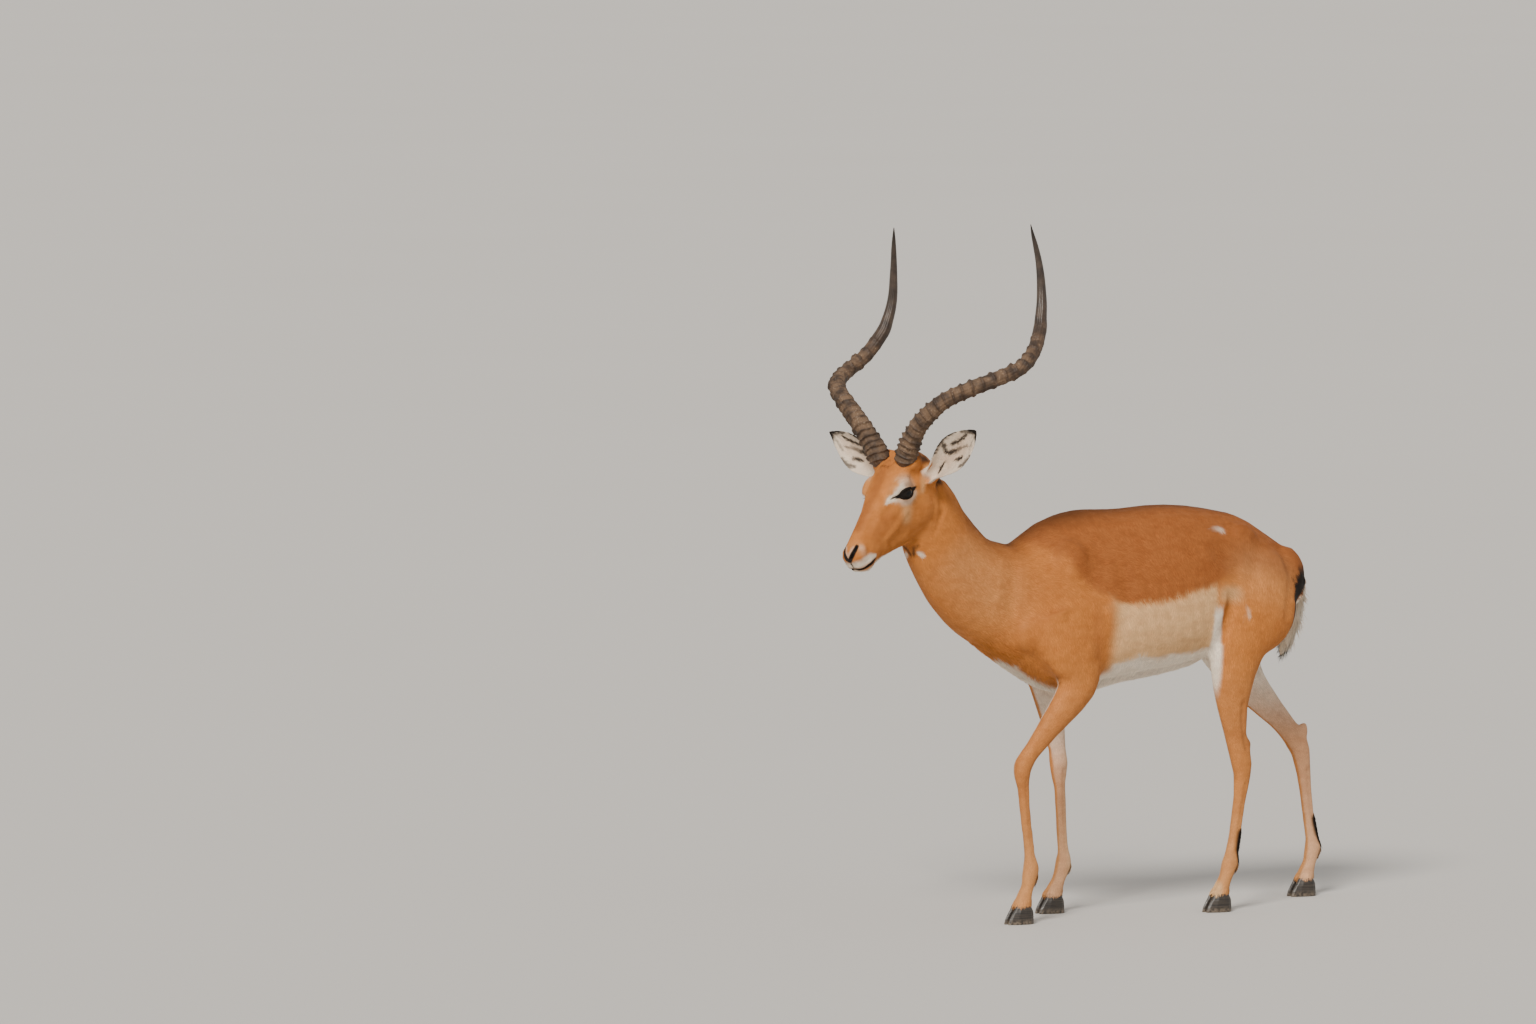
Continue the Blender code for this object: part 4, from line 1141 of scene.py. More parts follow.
def long_tufts(roots, normals, ways, length, width, lift, droop, seed):
    """A curved three-sided lock for each root, which rises, hangs and tapers to its tip."""
    source = np.random.default_rng(seed)
    count = len(roots)
    length = (length * source.uniform(0.65, 1.2, count))[:, None]
    width = width * source.uniform(0.7, 1.2, count)
    ways, across = turned(normals, ways, source.normal(0, 0.20, count))
    across = unit(across)
    side = source.normal(0, 0.10, count)[:, None]
    points = np.empty((count, 10, 3))
    for row, (t, share) in enumerate(((0.0, 1), (0.34, 0.92), (0.68, 0.62), (1.0, 0))):
        centre = roots + ways * length * t + normals * lift * length * math.sin(t * 1.9) / 0.95
        centre = centre + across * side * length * t * t
        centre[:, 2:] -= droop * length * t * t
        if t == 0:
            centre = centre - normals * 0.0006
        if t == 1:
            points[:, 9] = centre
            continue
        half = (width * share / 2)[:, None]
        points[:, row * 3] = centre + across * half
        points[:, row * 3 + 1] = centre - across * half
        points[:, row * 3 + 2] = centre + normals * half * 0.7
    return points


# ---- Finishes ----


class Nodes:
    """Adds and joins the nodes of one tree."""

    def __init__(self, tree):
        self.tree = tree

    def add(self, kind, **settings):
        node = self.tree.nodes.new(kind)
        for key, value in settings.items():
            setattr(node, key, value)
        return node

    def join(self, source, target):
        self.tree.links.new(source, target)

    def feed(self, socket, value):
        if isinstance(value, bpy.types.NodeSocket):
            self.join(value, socket)
        elif isinstance(value, tuple):
            socket.default_value = (*value, 1.0) if len(value) == 3 else value
        else:
            socket.default_value = value

    def place(self):
        return self.add("ShaderNodeTexCoord").outputs["Object"]

    def attribute(self, name, part="Color"):
        return self.add("ShaderNodeAttribute", attribute_name=name).outputs[part]

    def split(self, kind, source):
        """The parts of a colour (kind Color) or of a place (kind XYZ)."""
        node = self.add(f"ShaderNodeSeparate{kind}")
        self.join(source, node.inputs[0])
        return node.outputs

    def mix(self, share, first, second, blend="MIX"):
        node = self.add("ShaderNodeMix", data_type="RGBA", blend_type=blend)
        for socket, value in ((node.inputs[0], share), (node.inputs[6], first), (node.inputs[7], second)):
            self.feed(socket, value)
        return node.outputs[2]

    def maths(self, operation, *values):
        node = self.add("ShaderNodeMath", operation=operation)
        for socket, value in zip(node.inputs, values):
            self.feed(socket, value)
        return node.outputs[0]

    def times(self, first, second):
        return self.maths("MULTIPLY", first, second)

    def spread(self, value, low, high, bottom=0.0, top=1.0):
        node = self.add("ShaderNodeMapRange", interpolation_type="SMOOTHSTEP")
        for socket, number in zip(node.inputs, (value, low, high, bottom, top)):
            self.feed(socket, number)
        return node.outputs[0]

    def noise(self, place, scale, detail=3.0, stretch=None):
        if stretch:
            mapping = self.add("ShaderNodeMapping")
            mapping.inputs["Scale"].default_value = stretch
            self.join(place, mapping.inputs["Vector"])
            place = mapping.outputs["Vector"]
        node = self.add("ShaderNodeTexNoise")
        node.inputs["Scale"].default_value = scale
        node.inputs["Detail"].default_value = detail
        self.join(place, node.inputs["Vector"])
        return node.outputs["Fac"]

    def bump(self, shader, height, strength, distance):
        node = self.add("ShaderNodeBump")
        node.inputs["Strength"].default_value = strength
        node.inputs["Distance"].default_value = distance
        self.join(height, node.inputs["Height"])
        self.join(node.outputs["Normal"], shader.inputs["Normal"])


def new_group(name, inputs, outputs):
    """An empty shader group with named sockets, and its two ends."""
    group = bpy.data.node_groups.new(name, "ShaderNodeTree")
    for label, kind, value in inputs:
        socket = group.interface.new_socket(label, in_out="INPUT", socket_type=f"NodeSocket{kind}")
        if value is not None:
            socket.default_value = (*value, 1.0) if isinstance(value, tuple) else value
    for label, kind in outputs:
        group.interface.new_socket(label, in_out="OUTPUT", socket_type=f"NodeSocket{kind}")
    made = Nodes(group)
    return made, made.add("NodeGroupInput").outputs, made.add("NodeGroupOutput").inputs


def coat_colours():
    """The shared colouring of skin and coat: markings, strand by strand variation and dust, and on the
    skin painted shade between the hairs.
    """
    made, given, out = new_group(
        "coat_colours",
        [
            ("Marks", "Color", (0, 0, 0)),
            ("Black", "Float", 0.0),
            ("Strand", "Color", (0.5, 0.5, 0.5)),
            ("Tan", "Color", (0.560, 0.200, 0.045)),
            ("Deep Tan", "Color", (0.475, 0.164, 0.040)),
            ("Red", "Color", (0.328, 0.105, 0.027)),
            ("Pale", "Color", (0.700, 0.420, 0.200)),
            ("White", "Color", (0.890, 0.780, 0.640)),
            ("Dark", "Color", (0.014, 0.010, 0.008)),
            ("Depth", "Float", 1.0),
        ],
        [("Color", "Color"), ("Roughness", "Float")],
    )
    place = made.place()
    red, pale, white = made.split("Color", given["Marks"])
    shade, length, _ = made.split("Color", given["Strand"])
    broad = made.noise(place, 9.0, 3.0)
    fine = made.noise(place, 70.0, 4.0, (0.5, 1.0, 1.0))
    colour = made.mix(made.spread(broad, 0.32, 0.70, 0.0, 0.55), given["Tan"], given["Deep Tan"])
    colour = made.mix(red, colour, given["Red"])
    colour = made.mix(pale, colour, given["Pale"])
    colour = made.mix(white, colour, given["White"])
    colour = made.mix(made.spread(fine, 0.35, 0.75, 0.0, 0.20), colour, (0.42, 0.22, 0.12), "MULTIPLY")
    colour = made.mix(given["Black"], colour, given["Dark"])
    tone = made.maths("MULTIPLY_ADD", shade, 0.30, 0.85)
    tone = made.times(tone, made.spread(length, 0.0, 1.0, 0.92, 1.05))
    # painted shade between the hairs, which darkens the skin under the tufts
    tone = made.times(tone, given["Depth"])
    made.join(made.mix(1.0, colour, tone, "MULTIPLY"), out["Color"])
    made.join(made.spread(fine, 0.3, 0.7, 0.58, 0.72), out["Roughness"])
    return made.tree


def new_material(name):
    made = bpy.data.materials.new(name)
    made.use_nodes = True
    tree = Nodes(made.node_tree)
    return made, tree, made.node_tree.nodes["Principled BSDF"]


def hair_material(name, group, depth, bumpy):
    """The coat's finish. On the skin, under the tufts, the hairs are a bump, and depth darkens the skin as
    painted shade between the hairs.
    """
    made, tree, shader = new_material(name)
    colours = tree.add("ShaderNodeGroup", node_tree=group)
    tree.join(tree.attribute("marks"), colours.inputs["Marks"])
    tree.join(tree.attribute("marks", "Alpha"), colours.inputs["Black"])
    tree.join(tree.attribute("strand"), colours.inputs["Strand"])
    colours.inputs["Depth"].default_value = depth
    tree.join(colours.outputs["Color"], shader.inputs["Base Color"])
    tree.join(colours.outputs["Roughness"], shader.inputs["Roughness"])
    shader.inputs["Specular IOR Level"].default_value = 0.11
    shader.inputs["Sheen Weight"].default_value = 0.01
    shader.inputs["Sheen Roughness"].default_value = 0.45
    shader.inputs["Sheen Tint"].default_value = (1.0, 0.80, 0.62, 1.0)
    if bumpy:
        hairs = tree.noise(tree.place(), 620.0, 2.0, (0.30, 1.0, 0.55))
        tree.bump(shader, hairs, 0.55, HAIR_BUMP)
    return made


def horn_material():
    """Dark ringed horn with dust in its furrows, polished towards the tip."""
    made, tree, shader = new_material("horn_sheath")
    place = tree.place()
    furrow, share, lines = tree.split("Color", tree.attribute("wear"))
    blotch = tree.noise(place, 42.0, 6.0)
    flecks = tree.noise(place, 300.0, 4.0)
    colour = tree.mix(tree.spread(blotch, 0.35, 0.68), (0.036, 0.021, 0.013), (0.102, 0.059, 0.034))
    dust = tree.times(tree.spread(furrow, 0.30, 1.0), tree.spread(blotch, 0.30, 0.62))
    colour = tree.mix(tree.times(dust, 0.55), colour, (0.175, 0.108, 0.063))
    scuff = tree.times(tree.spread(flecks, 0.56, 0.68), tree.spread(blotch, 0.48, 0.60))
    colour = tree.mix(tree.times(scuff, 0.55), colour, (0.33, 0.24, 0.16))
    tip = tree.spread(share, 0.60, 0.78)
    polished = tree.mix(tree.spread(blotch, 0.3, 0.7), (0.022, 0.016, 0.013), (0.056, 0.040, 0.030))
    colour = tree.mix(tree.times(tip, 0.88), colour, polished)
    colour = tree.mix(tree.spread(share, 0.90, 1.0), colour, (0.018, 0.013, 0.010))
    tree.join(colour, shader.inputs["Base Color"])
    rough = tree.maths("ADD", tree.maths("MULTIPLY_ADD", tip, -0.24, 0.58), tree.times(dust, 0.25))
    tree.join(rough, shader.inputs["Roughness"])
    grain = tree.maths("ADD", tree.times(flecks, 0.7), tree.times(lines, 0.7))
    tree.bump(shader, grain, 0.90, 0.0011)
    shader.inputs["Specular IOR Level"].default_value = 0.38
    return made


def hoof_material():
    """Black horn of the claws, with growth lines, scuffs and dust near the ground."""
    made, tree, shader = new_material("claw_horn")
    place = tree.place()
    scuffs = tree.noise(place, 180.0, 4.0)
    rings = tree.noise(place, 60.0, 2.0, (0.25, 0.25, 7.0))
    colour = tree.mix(tree.spread(rings, 0.3, 0.7), (0.016, 0.013, 0.011), (0.050, 0.040, 0.032))
    dust = tree.spread(tree.split("XYZ", place)["Z"], 0.014, 0.0, 0.0, 0.75)
    dust = tree.times(dust, tree.spread(scuffs, 0.35, 0.65))
    tree.join(tree.mix(dust, colour, (0.22, 0.17, 0.12)), shader.inputs["Base Color"])
    tree.join(tree.spread(scuffs, 0.3, 0.7, 0.30, 0.52), shader.inputs["Roughness"])
    tree.bump(shader, rings, 0.6, 0.0007)
    return made


def eye_material():
    """A dark wet eye: brown-black iris, long level pupil, and a darker rim."""
    made, tree, shader = new_material("eyeball")
    place = tree.attribute("gaze", "Vector")
    ahead, above, _ = tree.split("XYZ", place)

    def out_by(long, tall):
        """Distance from the middle, in shares of these half sizes."""
        parts = (tree.maths("DIVIDE", *pair) for pair in ((ahead, long), (above, tall)))
        return tree.maths("SQRT", tree.maths("ADD", *(tree.maths("POWER", part, 2.0) for part in parts)))

    iris = tree.mix(tree.noise(place, 900.0, 3.0), (0.004, 0.0025, 0.0015), (0.012, 0.006, 0.003))
    pupil = tree.spread(out_by(0.0074, 0.0036), 0.85, 1.15)
    colour = tree.mix(pupil, (0.001, 0.001, 0.0015), iris)
    rim = tree.spread(out_by(1.0, 1.0), 0.0105, 0.0130)
    tree.join(tree.mix(rim, colour, (0.005, 0.003, 0.002)), shader.inputs["Base Color"])
    shader.inputs["Roughness"].default_value = 0.12
    shader.inputs["Specular IOR Level"].default_value = 0.15
    shader.inputs["Coat Weight"].default_value = 0.22
    shader.inputs["Coat Roughness"].default_value = 0.03
    return made


# ---- Pieces ----


def colour_layer(mesh, name, values):
    layer = mesh.attributes.new(name, "FLOAT_COLOR", "POINT")
    layer.data.foreach_set("color", np.asarray(values, np.float32).ravel())


def eyeball(side, word, finish):
    """A ball with a raised cornea, its pattern kept in the eye's own axes."""
    centre, axes = eye_frame(side)
    ways = tuple(Vector(axis) for axis in axes)
    piece = ball(f"eyeball_{word}", Vector(centre), (EYE_RADIUS - 0.0002,) * 3, ways, 64, 40)
    rel = (corners_of(piece.data) - centre) @ axes.T
    wide = np.hypot(rel[:, 0], rel[:, 1])
    rel[:, 2] += 0.0008 * (1 - smooth(0.004, 0.0125, wide)) * (rel[:, 2] > 0)
    put(piece.data, centre + rel @ axes)
    welded(piece, 1e-7)
    layer = piece.data.attributes.new("gaze", "FLOAT_VECTOR", "POINT")
    layer.data.foreach_set("vector", rel.astype(np.float32).ravel())
    finished(piece, finish, "eye", f"eye_{word}")


HORN_LINE = (
    (6, -6, -30, 21.5), (-2, 2, -2, 24), (-4, 17, 25, 22.5), (-6, 34, 50, 20.5), (-4, 54, 73, 20),
    (10, 99, 110, 17.8), (40, 145, 134, 17), (82, 183, 153, 16.5), (135, 203, 173, 16),
    (186, 196, 203, 15.6), (225, 183, 247, 14.4), (237, 177, 274, 12.5), (246, 173, 303, 11),
    (250, 170, 332, 9.6), (251, 168, 363, 8.3), (250, 165, 393, 6.8), (247, 161, 422, 5.4),
    (244, 157, 446, 3.4), (242, 154, 467, 0.8),
)
HORN_RINGED = 0.70  # share of the length with rings
RING_FIRST = 0.015  # spacing of the rings at the root and at the last one, in shares of the length
RING_LAST = 0.046
RING_RISE, FURROW_DEPTH, BUMP_RISE = 0.285, 0.105, 0.019  # in shares of the radius
HORN_SIDES = 40


def curve_through(rows, count):
    """Points at even steps on a smooth curve through the rows."""
    steps = np.linspace(0, len(rows) - 1, count)
    low = np.minimum(steps.astype(int), len(rows) - 2)
    t = (steps - low)[:, None]
    slope = np.gradient(rows, axis=0)
    a, b = rows[low], rows[low + 1]
    out = a * (1 + 2 * t) * (1 - t) ** 2 + b * t**2 * (3 - 2 * t)
    return out + slope[low] * t * (1 - t) ** 2 + slope[low + 1] * t**2 * (t - 1)


def horn_axis(side):
    """Even stations on the horn: share of its length, middle, radius, and the ways of its section."""
    rows = curve_through(mm(HORN_LINE), 500)
    root = head_place(-0.066, 0.035, 0.0425, side)
    line = np.array([root + level_step(*row[:3], side) for row in rows])
    run = np.concatenate(([0], np.cumsum(spans(np.diff(line, axis=0)))))
    end = HORN_RINGED + 0.03
    shares = np.concatenate((np.linspace(0, end, 480), np.linspace(end + 0.006, 1, 60)))
    centres = np.column_stack([np.interp(shares * run[-1], run, line[:, i]) for i in range(3)])
    radii = np.interp(shares * run[-1], run, rows[:, 3])
    ways = unit(np.gradient(centres, axis=0))
    front = np.array(AHEAD) - ways * (ways @ np.array(AHEAD))[:, None]
    front = unit(front)
    return shares, centres, radii, front, np.cross(ways, front)


def ring_relief(side, shares, turn):
    """The rise of rings and bumps in shares of the radius, with the rings' fade and crests."""
    growth = (RING_LAST - RING_FIRST) / HORN_RINGED
    waver = 0.0016 * np.sin(3 * turn + side) + 0.0011 * np.sin(5 * turn - 2 * side)
    tilted = np.maximum(shares - 0.0050 * np.cos(turn) + waver, 0)
    phase = np.log(1 + growth * tilted / RING_FIRST) / growth
    number = np.floor(phase + 0.5)
    own = 0.80 + 0.34 * np.sin(number * 2.4 + side) * np.sin(number * 1.1 + 2)
    lean = phase + 0.10 * np.sin(2 * math.pi * phase)
    crest = ((1 + np.cos(2 * math.pi * lean)) / 2) ** 2.3
    fade = np.clip((HORN_RINGED - shares) * 8, 0, 1) * smooth(0.02, 0.05, shares)
    facing = 0.66 + 0.34 * np.cos(turn)
    knots = 1 + 0.32 * np.sin(turn * 5 + number * 1.7) * np.sin(turn * 3 - number * 0.9)
    rise = fade * facing * (RING_RISE * crest * own * knots - FURROW_DEPTH)
    bumps = BUMP_RISE * np.sin(turn * 7 + phase * 1.3) * np.sin(turn * 4 - phase * 2.1 + side)
    return rise + bumps * (0.3 + fade), fade, crest


def horn(side, word, finish):
    """A lyre-shaped horn whose rings stand out most in front and space out as it rises."""
    shares, centres, radii, front, across = horn_axis(side)
    turn = np.arange(HORN_SIDES) * 2 * math.pi / HORN_SIDES
    rise, fade, crest = ring_relief(side, shares[:, None], turn[None])
    root_taper = 0.78 + 0.22 * smooth(0.018, 0.042, shares)
    scale = (radii * root_taper)[:, None] * (1 + rise)
    ways = np.cos(turn)[None, :, None] * front[:, None] + np.sin(turn)[None, :, None] * across[:, None]
    rows = centres[:, None] + scale[..., None] * ways
    piece = lofted(f"horn_{word}_ringed", rows)
    order = nearest(rows.reshape(-1, 3), corners_of(piece.data))
    furrow = fade * (1 - crest)
    lines = 0.5 + 0.5 * np.sin(turn * 14)[None] * np.ones_like(scale)
    share = shares[:, None] * np.ones_like(scale)
    wear = np.stack((furrow, share, lines, np.ones_like(scale)), axis=2).reshape(-1, 4)
    colour_layer(piece.data, "wear", wear[order])
    smoothed(piece)
    finished(piece, finish, "horn", f"horn_{word}")


def nearest(known, wanted):
    """For each wanted point the index of the known point at its place."""
    tree = KDTree(len(known))
    for i, point in enumerate(known):
        tree.insert(point, i)
    tree.balance()
    return np.array([tree.find(point)[1] for point in wanted])


def claw(node, finish):
    """A claw with its walls evened out and its top tucked under the hair of the coronet."""
    piece = copy_of(node, node.replace("hoof", "claw"))
    low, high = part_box(node)
    evened(piece, *CLAW_EVEN)
    points = corners_of(piece.data)
    centre = np.array((low + high) / 2)
    top = smooth(high.z - 0.007, high.z - 0.001, points[:, 2])[:, None]
    points[:, :2] += (centre[:2] - points[:, :2]) * 0.14 * top
    points[:, 2] = np.maximum(points[:, 2] + top[:, 0] * 0.005, 0.0)
    put(piece.data, points)
    smoothed(piece)
    finished(piece, finish, "hoof", node)


def finished(piece, finish, slot, *stands_for):
    """Gives a piece its finish and its body, and hides the nodes it stands for. Its slot is not used."""
    piece.data.materials.clear()
    piece.data.materials.append(finish)
    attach(piece, "root")
    if stands_for:
        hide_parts(*stands_for)


# ---- Skin ----


def near_eyes(spots, radius):
    return near(spots, [eye_frame(side)[0] for side in (1, -1)], radius)


def near_mouth(spots):
    ahead, aside, above = on_head(spots).T
    return (ahead > 0.128) & (abs(aside) < 0.04) & between(above, -0.07, 0.03)


def unwrapped(skin):
    """Lays the whole skin out flat on the unwrap that skin and coat share."""
    only(skin)
    while skin.data.uv_layers:
        skin.data.uv_layers.remove(skin.data.uv_layers[0])
    skin.data.uv_layers.new(name="OFBake")
    bpy.ops.object.mode_set(mode="EDIT")
    bpy.ops.mesh.select_all(action="SELECT")
    bpy.ops.uv.smart_project(angle_limit=math.radians(66), island_margin=0.002)
    bpy.ops.object.mode_set(mode="OBJECT")


def make_skin(finish):
    """One surface over trunk, neck, head, ears, tail and legs, finest round the eyes and mouth."""
    skin = base_form()
    shape_body(skin.data)
    thinned(skin)
    for _ in range(2):
        refined(skin, lambda spots: near_eyes(spots, 0.027))
    refined(skin, near_mouth)
    points = corners_of(skin.data)
    detail = (near_eyes(points, 0.03) | near_mouth(points)).astype(float)
    relax(skin.data, 2, weight=detail[:, None])
    points = corners_of(skin.data)
    for side in (1, -1):
        close = near(points, [eye_frame(side)[0]], 0.031)
        points[close] = shape_lids(points[close], side)
    put(skin.data, points)
    relief(points, normals_of(skin.data), on_head(points), MUZZLE_RELIEF)
    put(skin.data, points)
    smoothed(skin)
    unwrapped(skin)
    points = corners_of(skin.data)
    colour_layer(skin.data, "marks", markings(points, normals_of(skin.data)))
    colour_layer(skin.data, "strand", np.full((len(points), 4), (0.40, 0.3, 0.5, 1.0)))
    finished(skin, finish, "coat", *BODY, *EARS)
    return skin


# ---- Coat ----

# For each region: tufts to the square metre, length, width and lift of the tips.
COAT = {
    "face": (435e3, 0.0050, 0.00090, 0.00008),
    "ears": (330e3, 0.0036, 0.00080, 0.00008),
    "neck": (165e3, 0.0095, 0.0015, 0.00011),
    "shoulders": (150e3, 0.0095, 0.0016, 0.00011),
    "flanks": (125e3, 0.0100, 0.0017, 0.00011),
    "rump": (125e3, 0.0100, 0.0017, 0.00011),
    "forelegs": (300e3, 0.0068, 0.0012, 0.00010),
    "hind_legs": (300e3, 0.0068, 0.0012, 0.00010),
    "tail": (200e3, 0.0130, 0.0014, 0.0008),
}


def short_size(region, roots):
    """How the tufts' size changes over a region."""
    size = np.ones(len(roots))
    if region == "face":
        size *= 1 - 0.45 * smooth(0.05, 0.15, on_head(roots)[:, 0])
        size = np.where(near_eyes(roots, 0.028), np.minimum(size, 0.55), size)
    if region in ("forelegs", "hind_legs"):
        size *= 0.75 + 0.25 * smooth(0.25, 0.42, on_body(roots)[:, 2])
    return size


def short_coat(surface, finish):
    """The flat coat, one piece to a region, smallest on the face and feet."""
    label = lie(surface.middles, surface.facing)[1]
    muzzle = smooth(0.06, 0.15, on_head(surface.middles)[:, 0])
    tree = BVHTree.FromPolygons(surface.points.tolist(), surface.faces.tolist(), all_triangles=True)
    for number, region in enumerate(REGIONS):
        density, length, width, lift = COAT[region]
        chosen = (label == number) * density * (1 + 0.7 * muzzle * (region == "face"))
        roots, normals, unwrap = surface.roots(chosen, 100 + number)
        ways, _ = lie(roots, normals)
        size = short_size(region, roots)
        wide = width * (0.4 + 0.6 * size)
        points = short_tufts(roots, normals, ways, length * size, wide, lift * size, 200 + number, tree)
        marks = markings(roots, normals)
        solid(f"coat_{region}", points, SHORT, roots, normals, unwrap, marks, 300 + number, finish)


# Longer locks where the coat breaks the outline: locks to the square metre, their length, width,
# lift and droop, and a seed.
FRINGES = {
    "belly": (60e3, 0.020, 0.0018, 0.06, 0.08, 401),
    "brisket": (60e3, 0.018, 0.0018, 0.07, 0.06, 411),
    "tail": (300e3, 0.015, 0.0017, 0.06, 0.10, 421),
    "rump": (90e3, 0.017, 0.0017, 0.07, 0.10, 431),
    "glands": (800e3, 0.0115, 0.0013, 0.16, 0.10, 441),
    "heels": (500e3, 0.011, 0.0013, 0.20, 0.10, 451),
    "coronets": (380e3, 0.0105, 0.0013, 0.10, 0.05, 461),
    "forelock": (500e3, 0.0085, 0.0010, 0.05, 0.01, 471),
    "throat": (160e3, 0.0085, 0.0012, 0.07, 0.02, 481),
    "ears": (150e3, 0.0095, 0.0008, 0.05, 0.0, 491),
}
TAIL_GAIN = 0.018  # how much longer the locks at the tail's tip are
EAR_LOSS = 0.005  # how much shorter the locks at the ear's tip are
LASH_LONG, LASH_WIDE = 0.0044, 0.00045


def fringe_places(middles, facing):
    """The faces of the skin that carry each fringe."""
    x, y, z = on_body(middles).T
    ahead, aside, above = on_head(middles).T
    down = -facing[:, 2]
    tail = (x > 0.395) & (abs(y) < 0.030) & between(z, 0.50, 0.735)
    behind = facing[:, 0] > 0.1
    glands = np.vstack([down_leg(leg, GLAND, 1.0)[:, :3] for leg in LEGS[2:]])
    heels = np.vstack([down_leg(leg, (0.095,), 1.0)[:, :3] for leg in LEGS])
    throat = between(ahead, -0.05, 0.17) & between(above, -0.17, -0.045)
    ears = np.zeros(len(middles), bool)
    for side in (1, -1):
        share, depth, across = ear_places(middles, side)
        leaf = on_leaf(share, depth, across) & (abs(across) < 0.72 * leaf_half(share))
        ears |= leaf & between(share, 0.14, 0.85) & (facing @ ear_frame(side)[2] > 0.1)
    return {
        "belly": between(x, -0.20, 0.17) & between(z, 0.44, 0.56) & (down > 0.45) & (abs(y) < 0.08),
        "brisket": between(x, -0.40, -0.18) & between(z, 0.45, 0.60) & (down > 0.3) & (abs(y) < 0.06),
        "tail": tail,
        "rump": (x > 0.345) & between(z, 0.50, 0.70) & (abs(y) < 0.085) & behind & ~tail,
        "glands": near(middles, glands, 0.013) & (facing[:, 0] > 0.05),
        "heels": near(middles, heels, 0.012) & behind,
        "coronets": between(middles[:, 2], 0.030, 0.050),
        "forelock": (abs(aside) < 0.022) & between(ahead, -0.062, -0.018) & (above > 0.030),
        "throat": throat & (abs(aside) < 0.03) & (facing @ np.array(CROWN) < -0.55),
        "ears": ears,
    }


def fringes(surface, finish):
    for name, where in fringe_places(surface.middles, surface.facing).items():
        density, length, width, lift, droop, seed = FRINGES[name]
        roots, normals, unwrap = surface.roots(where * density, seed)
        ways, _ = lie(roots, normals)
        marks = markings(roots, normals)
        length = np.full(len(roots), length)
        if name == "tail":
            place = on_body(roots)
            length += TAIL_GAIN * smooth(0.70, 0.60, place[:, 2])
            aside = np.sign(place[:, 1]) * 0.18
            ways = unit(ways + np.column_stack((0 * aside, aside, 0 * aside - 0.4)))
        if name == "ears":
            shares = [ear_places(roots, side)[0] for side in (1, -1)]
            length -= EAR_LOSS * np.where(between(shares[0], 0, 1), *shares)
        if name == "glands":
            marks[:, 3] = 1.0
        points = long_tufts(roots, normals, ways, length, width, lift, droop, seed + 1)
        solid(f"fringe_{name}", points, LONG, roots, normals, unwrap, marks, seed + 2, finish)


def lashes(surface, finish):
    """Dark lashes along the edge of each upper lid, and finer ones below."""
    roots, ways, normals = [], [], []
    for side in (1, -1):
        centre, axes = eye_frame(side)
        for (radius, height, sign), count in zip(lid_arcs(), (70, 36)):
            for u in np.linspace(-0.88, 0.80, count):
                a = u * LID_LONG
                b = sign * math.sqrt(radius**2 - a * a) + height + sign * 0.0011
                c = math.sqrt(max((EYE_RADIUS + 0.0012) ** 2 - a * a - b * b, 0))
                roots.append(centre + np.array((a + LID_SHIFT, b, c)) @ axes)
                ways.append(np.array((0.30 * u - 0.15, 0.42 * sign, 0.85)) @ axes)
                normals.append(np.array((0.0, sign, 0.25)) @ axes)
    roots, ways, normals = np.array(roots), unit(np.array(ways)), unit(np.array(normals))
    ways = unit(ways - normals * dots(ways, normals))
    length = np.full(len(roots), LASH_LONG)
    points = long_tufts(roots, normals, ways, length, LASH_WIDE, 0.10, 0.0, 501)
    lids = near_eyes(surface.middles, 0.03)
    unwrap = surface.unwrap[lids][nearest(surface.middles[lids], roots)].mean(1)
    marks = np.tile((0.0, 0.0, 0.0, 1.0), (len(roots), 1))
    solid("lashes", points, LONG, roots, normals, unwrap, marks, 502, finish)


# ---- Room ----


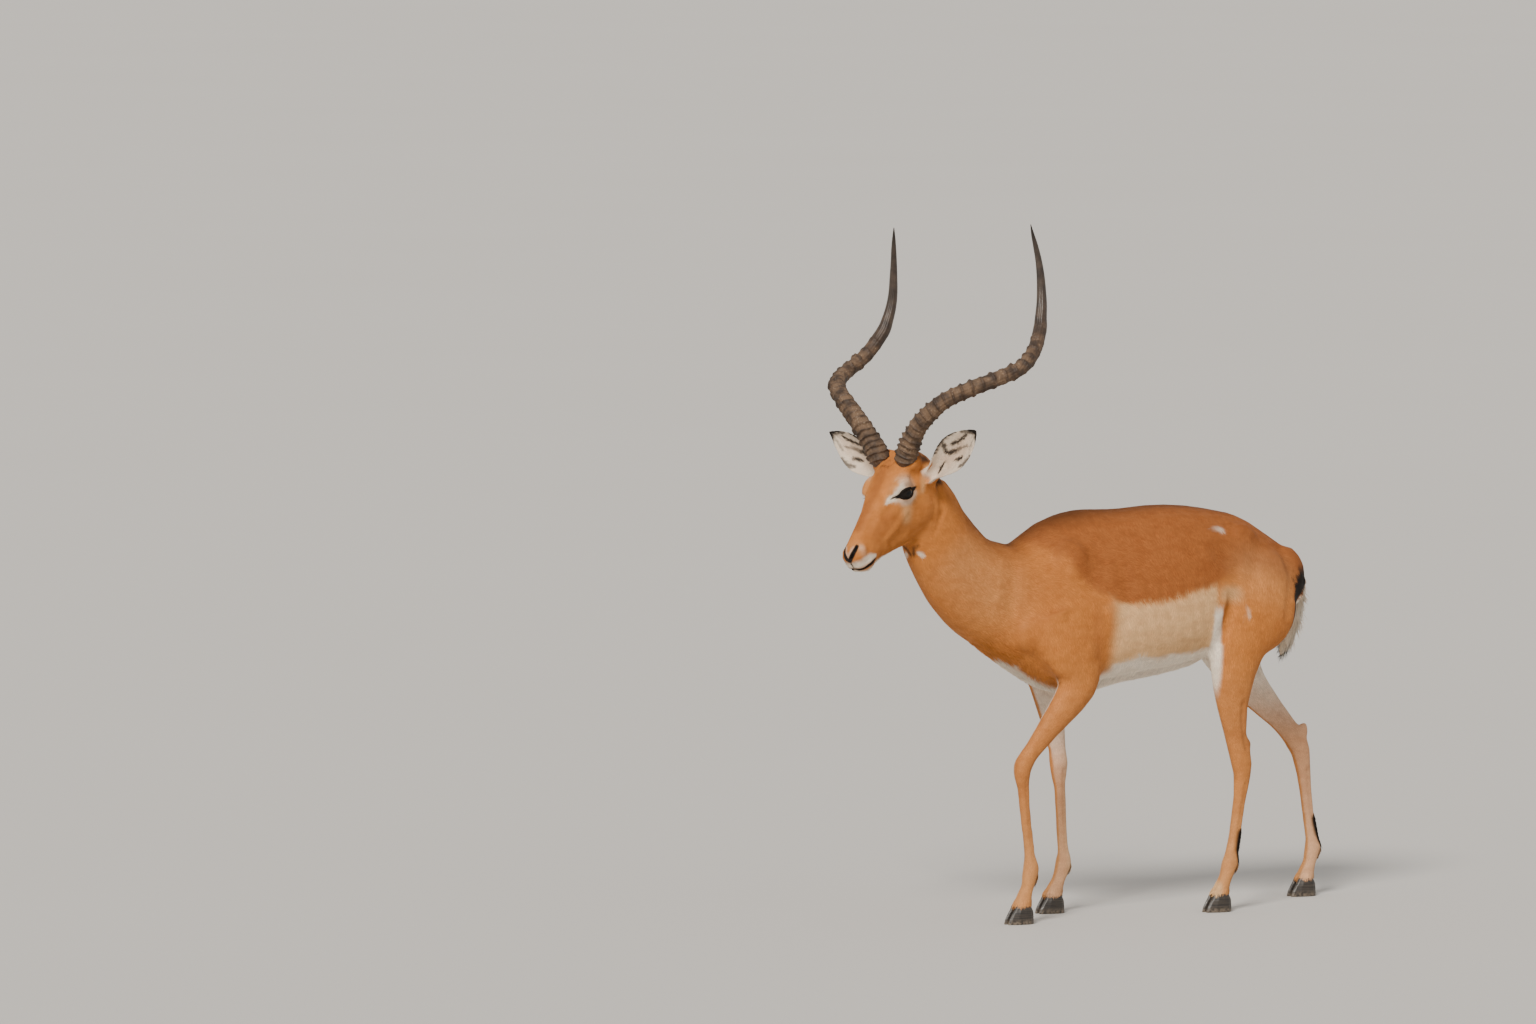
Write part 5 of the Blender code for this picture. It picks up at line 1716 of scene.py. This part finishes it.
def floor_and_light():
    """A pale floor and a pale room, lit by one soft warm key and by the room itself."""
    bpy.ops.object.select_all(action="DESELECT")
    bpy.ops.mesh.primitive_circle_add(vertices=96, radius=90.0, fill_type="NGON", location=(0, 0, -0.0005))
    floor = bpy.context.object
    floor.name = "floor"
    bpy.ops.object.transform_apply(location=True)
    made, tree, shader = new_material("studio_floor")
    grain = tree.noise(tree.place(), 0.35, 2.0)
    tree.join(tree.mix(grain, (0.566, 0.547, 0.521), (0.584, 0.565, 0.539)), shader.inputs["Base Color"])
    shader.inputs["Roughness"].default_value = 0.9
    shader.inputs["Specular IOR Level"].default_value = 0.1
    floor.data.materials.append(made)
    world = bpy.data.worlds.new("studio")
    bpy.context.scene.world = world
    world.use_nodes = True
    tree = Nodes(world.node_tree)
    ground = world.node_tree.nodes["Background"]
    up = tree.split("XYZ", tree.add("ShaderNodeTexCoord").outputs["Generated"])["Z"]
    tree.join(tree.mix(tree.spread(up, 0.02, 0.75), ROOM_LOW, ROOM_HIGH), ground.inputs[0])
    ground.inputs[1].default_value = ROOM_LIGHT
    bpy.ops.object.light_add(type="SUN", location=(-3.0, -2.5, 3.0))
    lamp = bpy.context.object
    lamp.name = "key"
    lamp.data.energy = KEY_LIGHT
    lamp.data.angle = KEY_SPREAD
    lamp.data.color = (1.0, 0.95, 0.88)
    lamp.rotation_euler = KEY_WAY.to_track_quat("-Z", "Y").to_euler()


def camera():
    """The viewpoint: ahead and to the left of the animal, from far off through a long lens."""
    right = Vector((math.cos(VIEW_TURN), math.sin(VIEW_TURN), 0))
    level = Vector((math.sin(VIEW_TURN), -math.cos(VIEW_TURN), 0))
    back = level * math.cos(VIEW_RISE) + Vector((0, 0, math.sin(VIEW_RISE)))
    aim = SHIFT + right * VIEW_ASIDE + back.cross(right) * VIEW_ABOVE
    bpy.ops.object.camera_add(location=aim + back * VIEW_FAR)
    eye = bpy.context.object
    eye.rotation_euler = (-back).to_track_quat("-Z", "Y").to_euler()
    eye.data.lens = VIEW_LENS
    eye.data.sensor_width = 36.0
    eye.data.clip_end = 300.0
    bpy.context.scene.camera = eye


# ---- Making ----


def main():
    group = coat_colours()
    skin = make_skin(hair_material("coat_on_skin", group, SKIN_GAP_SHADE, True))
    coat_finish = hair_material("coat_hair", group, 1.0, False)
    surface = Surface(skin.data)
    short_coat(surface, coat_finish)
    fringes(surface, coat_finish)
    lashes(surface, coat_finish)
    eye_finish, horn_finish, hoof_finish = eye_material(), horn_material(), hoof_material()
    for side, word in ((1, "left"), (-1, "right")):
        eyeball(side, word, eye_finish)
        horn(side, word, horn_finish)
    for node in sorted(nodes):
        if node.startswith("hoof"):
            claw(node, hoof_finish)
    floor_and_light()
    camera()


main()
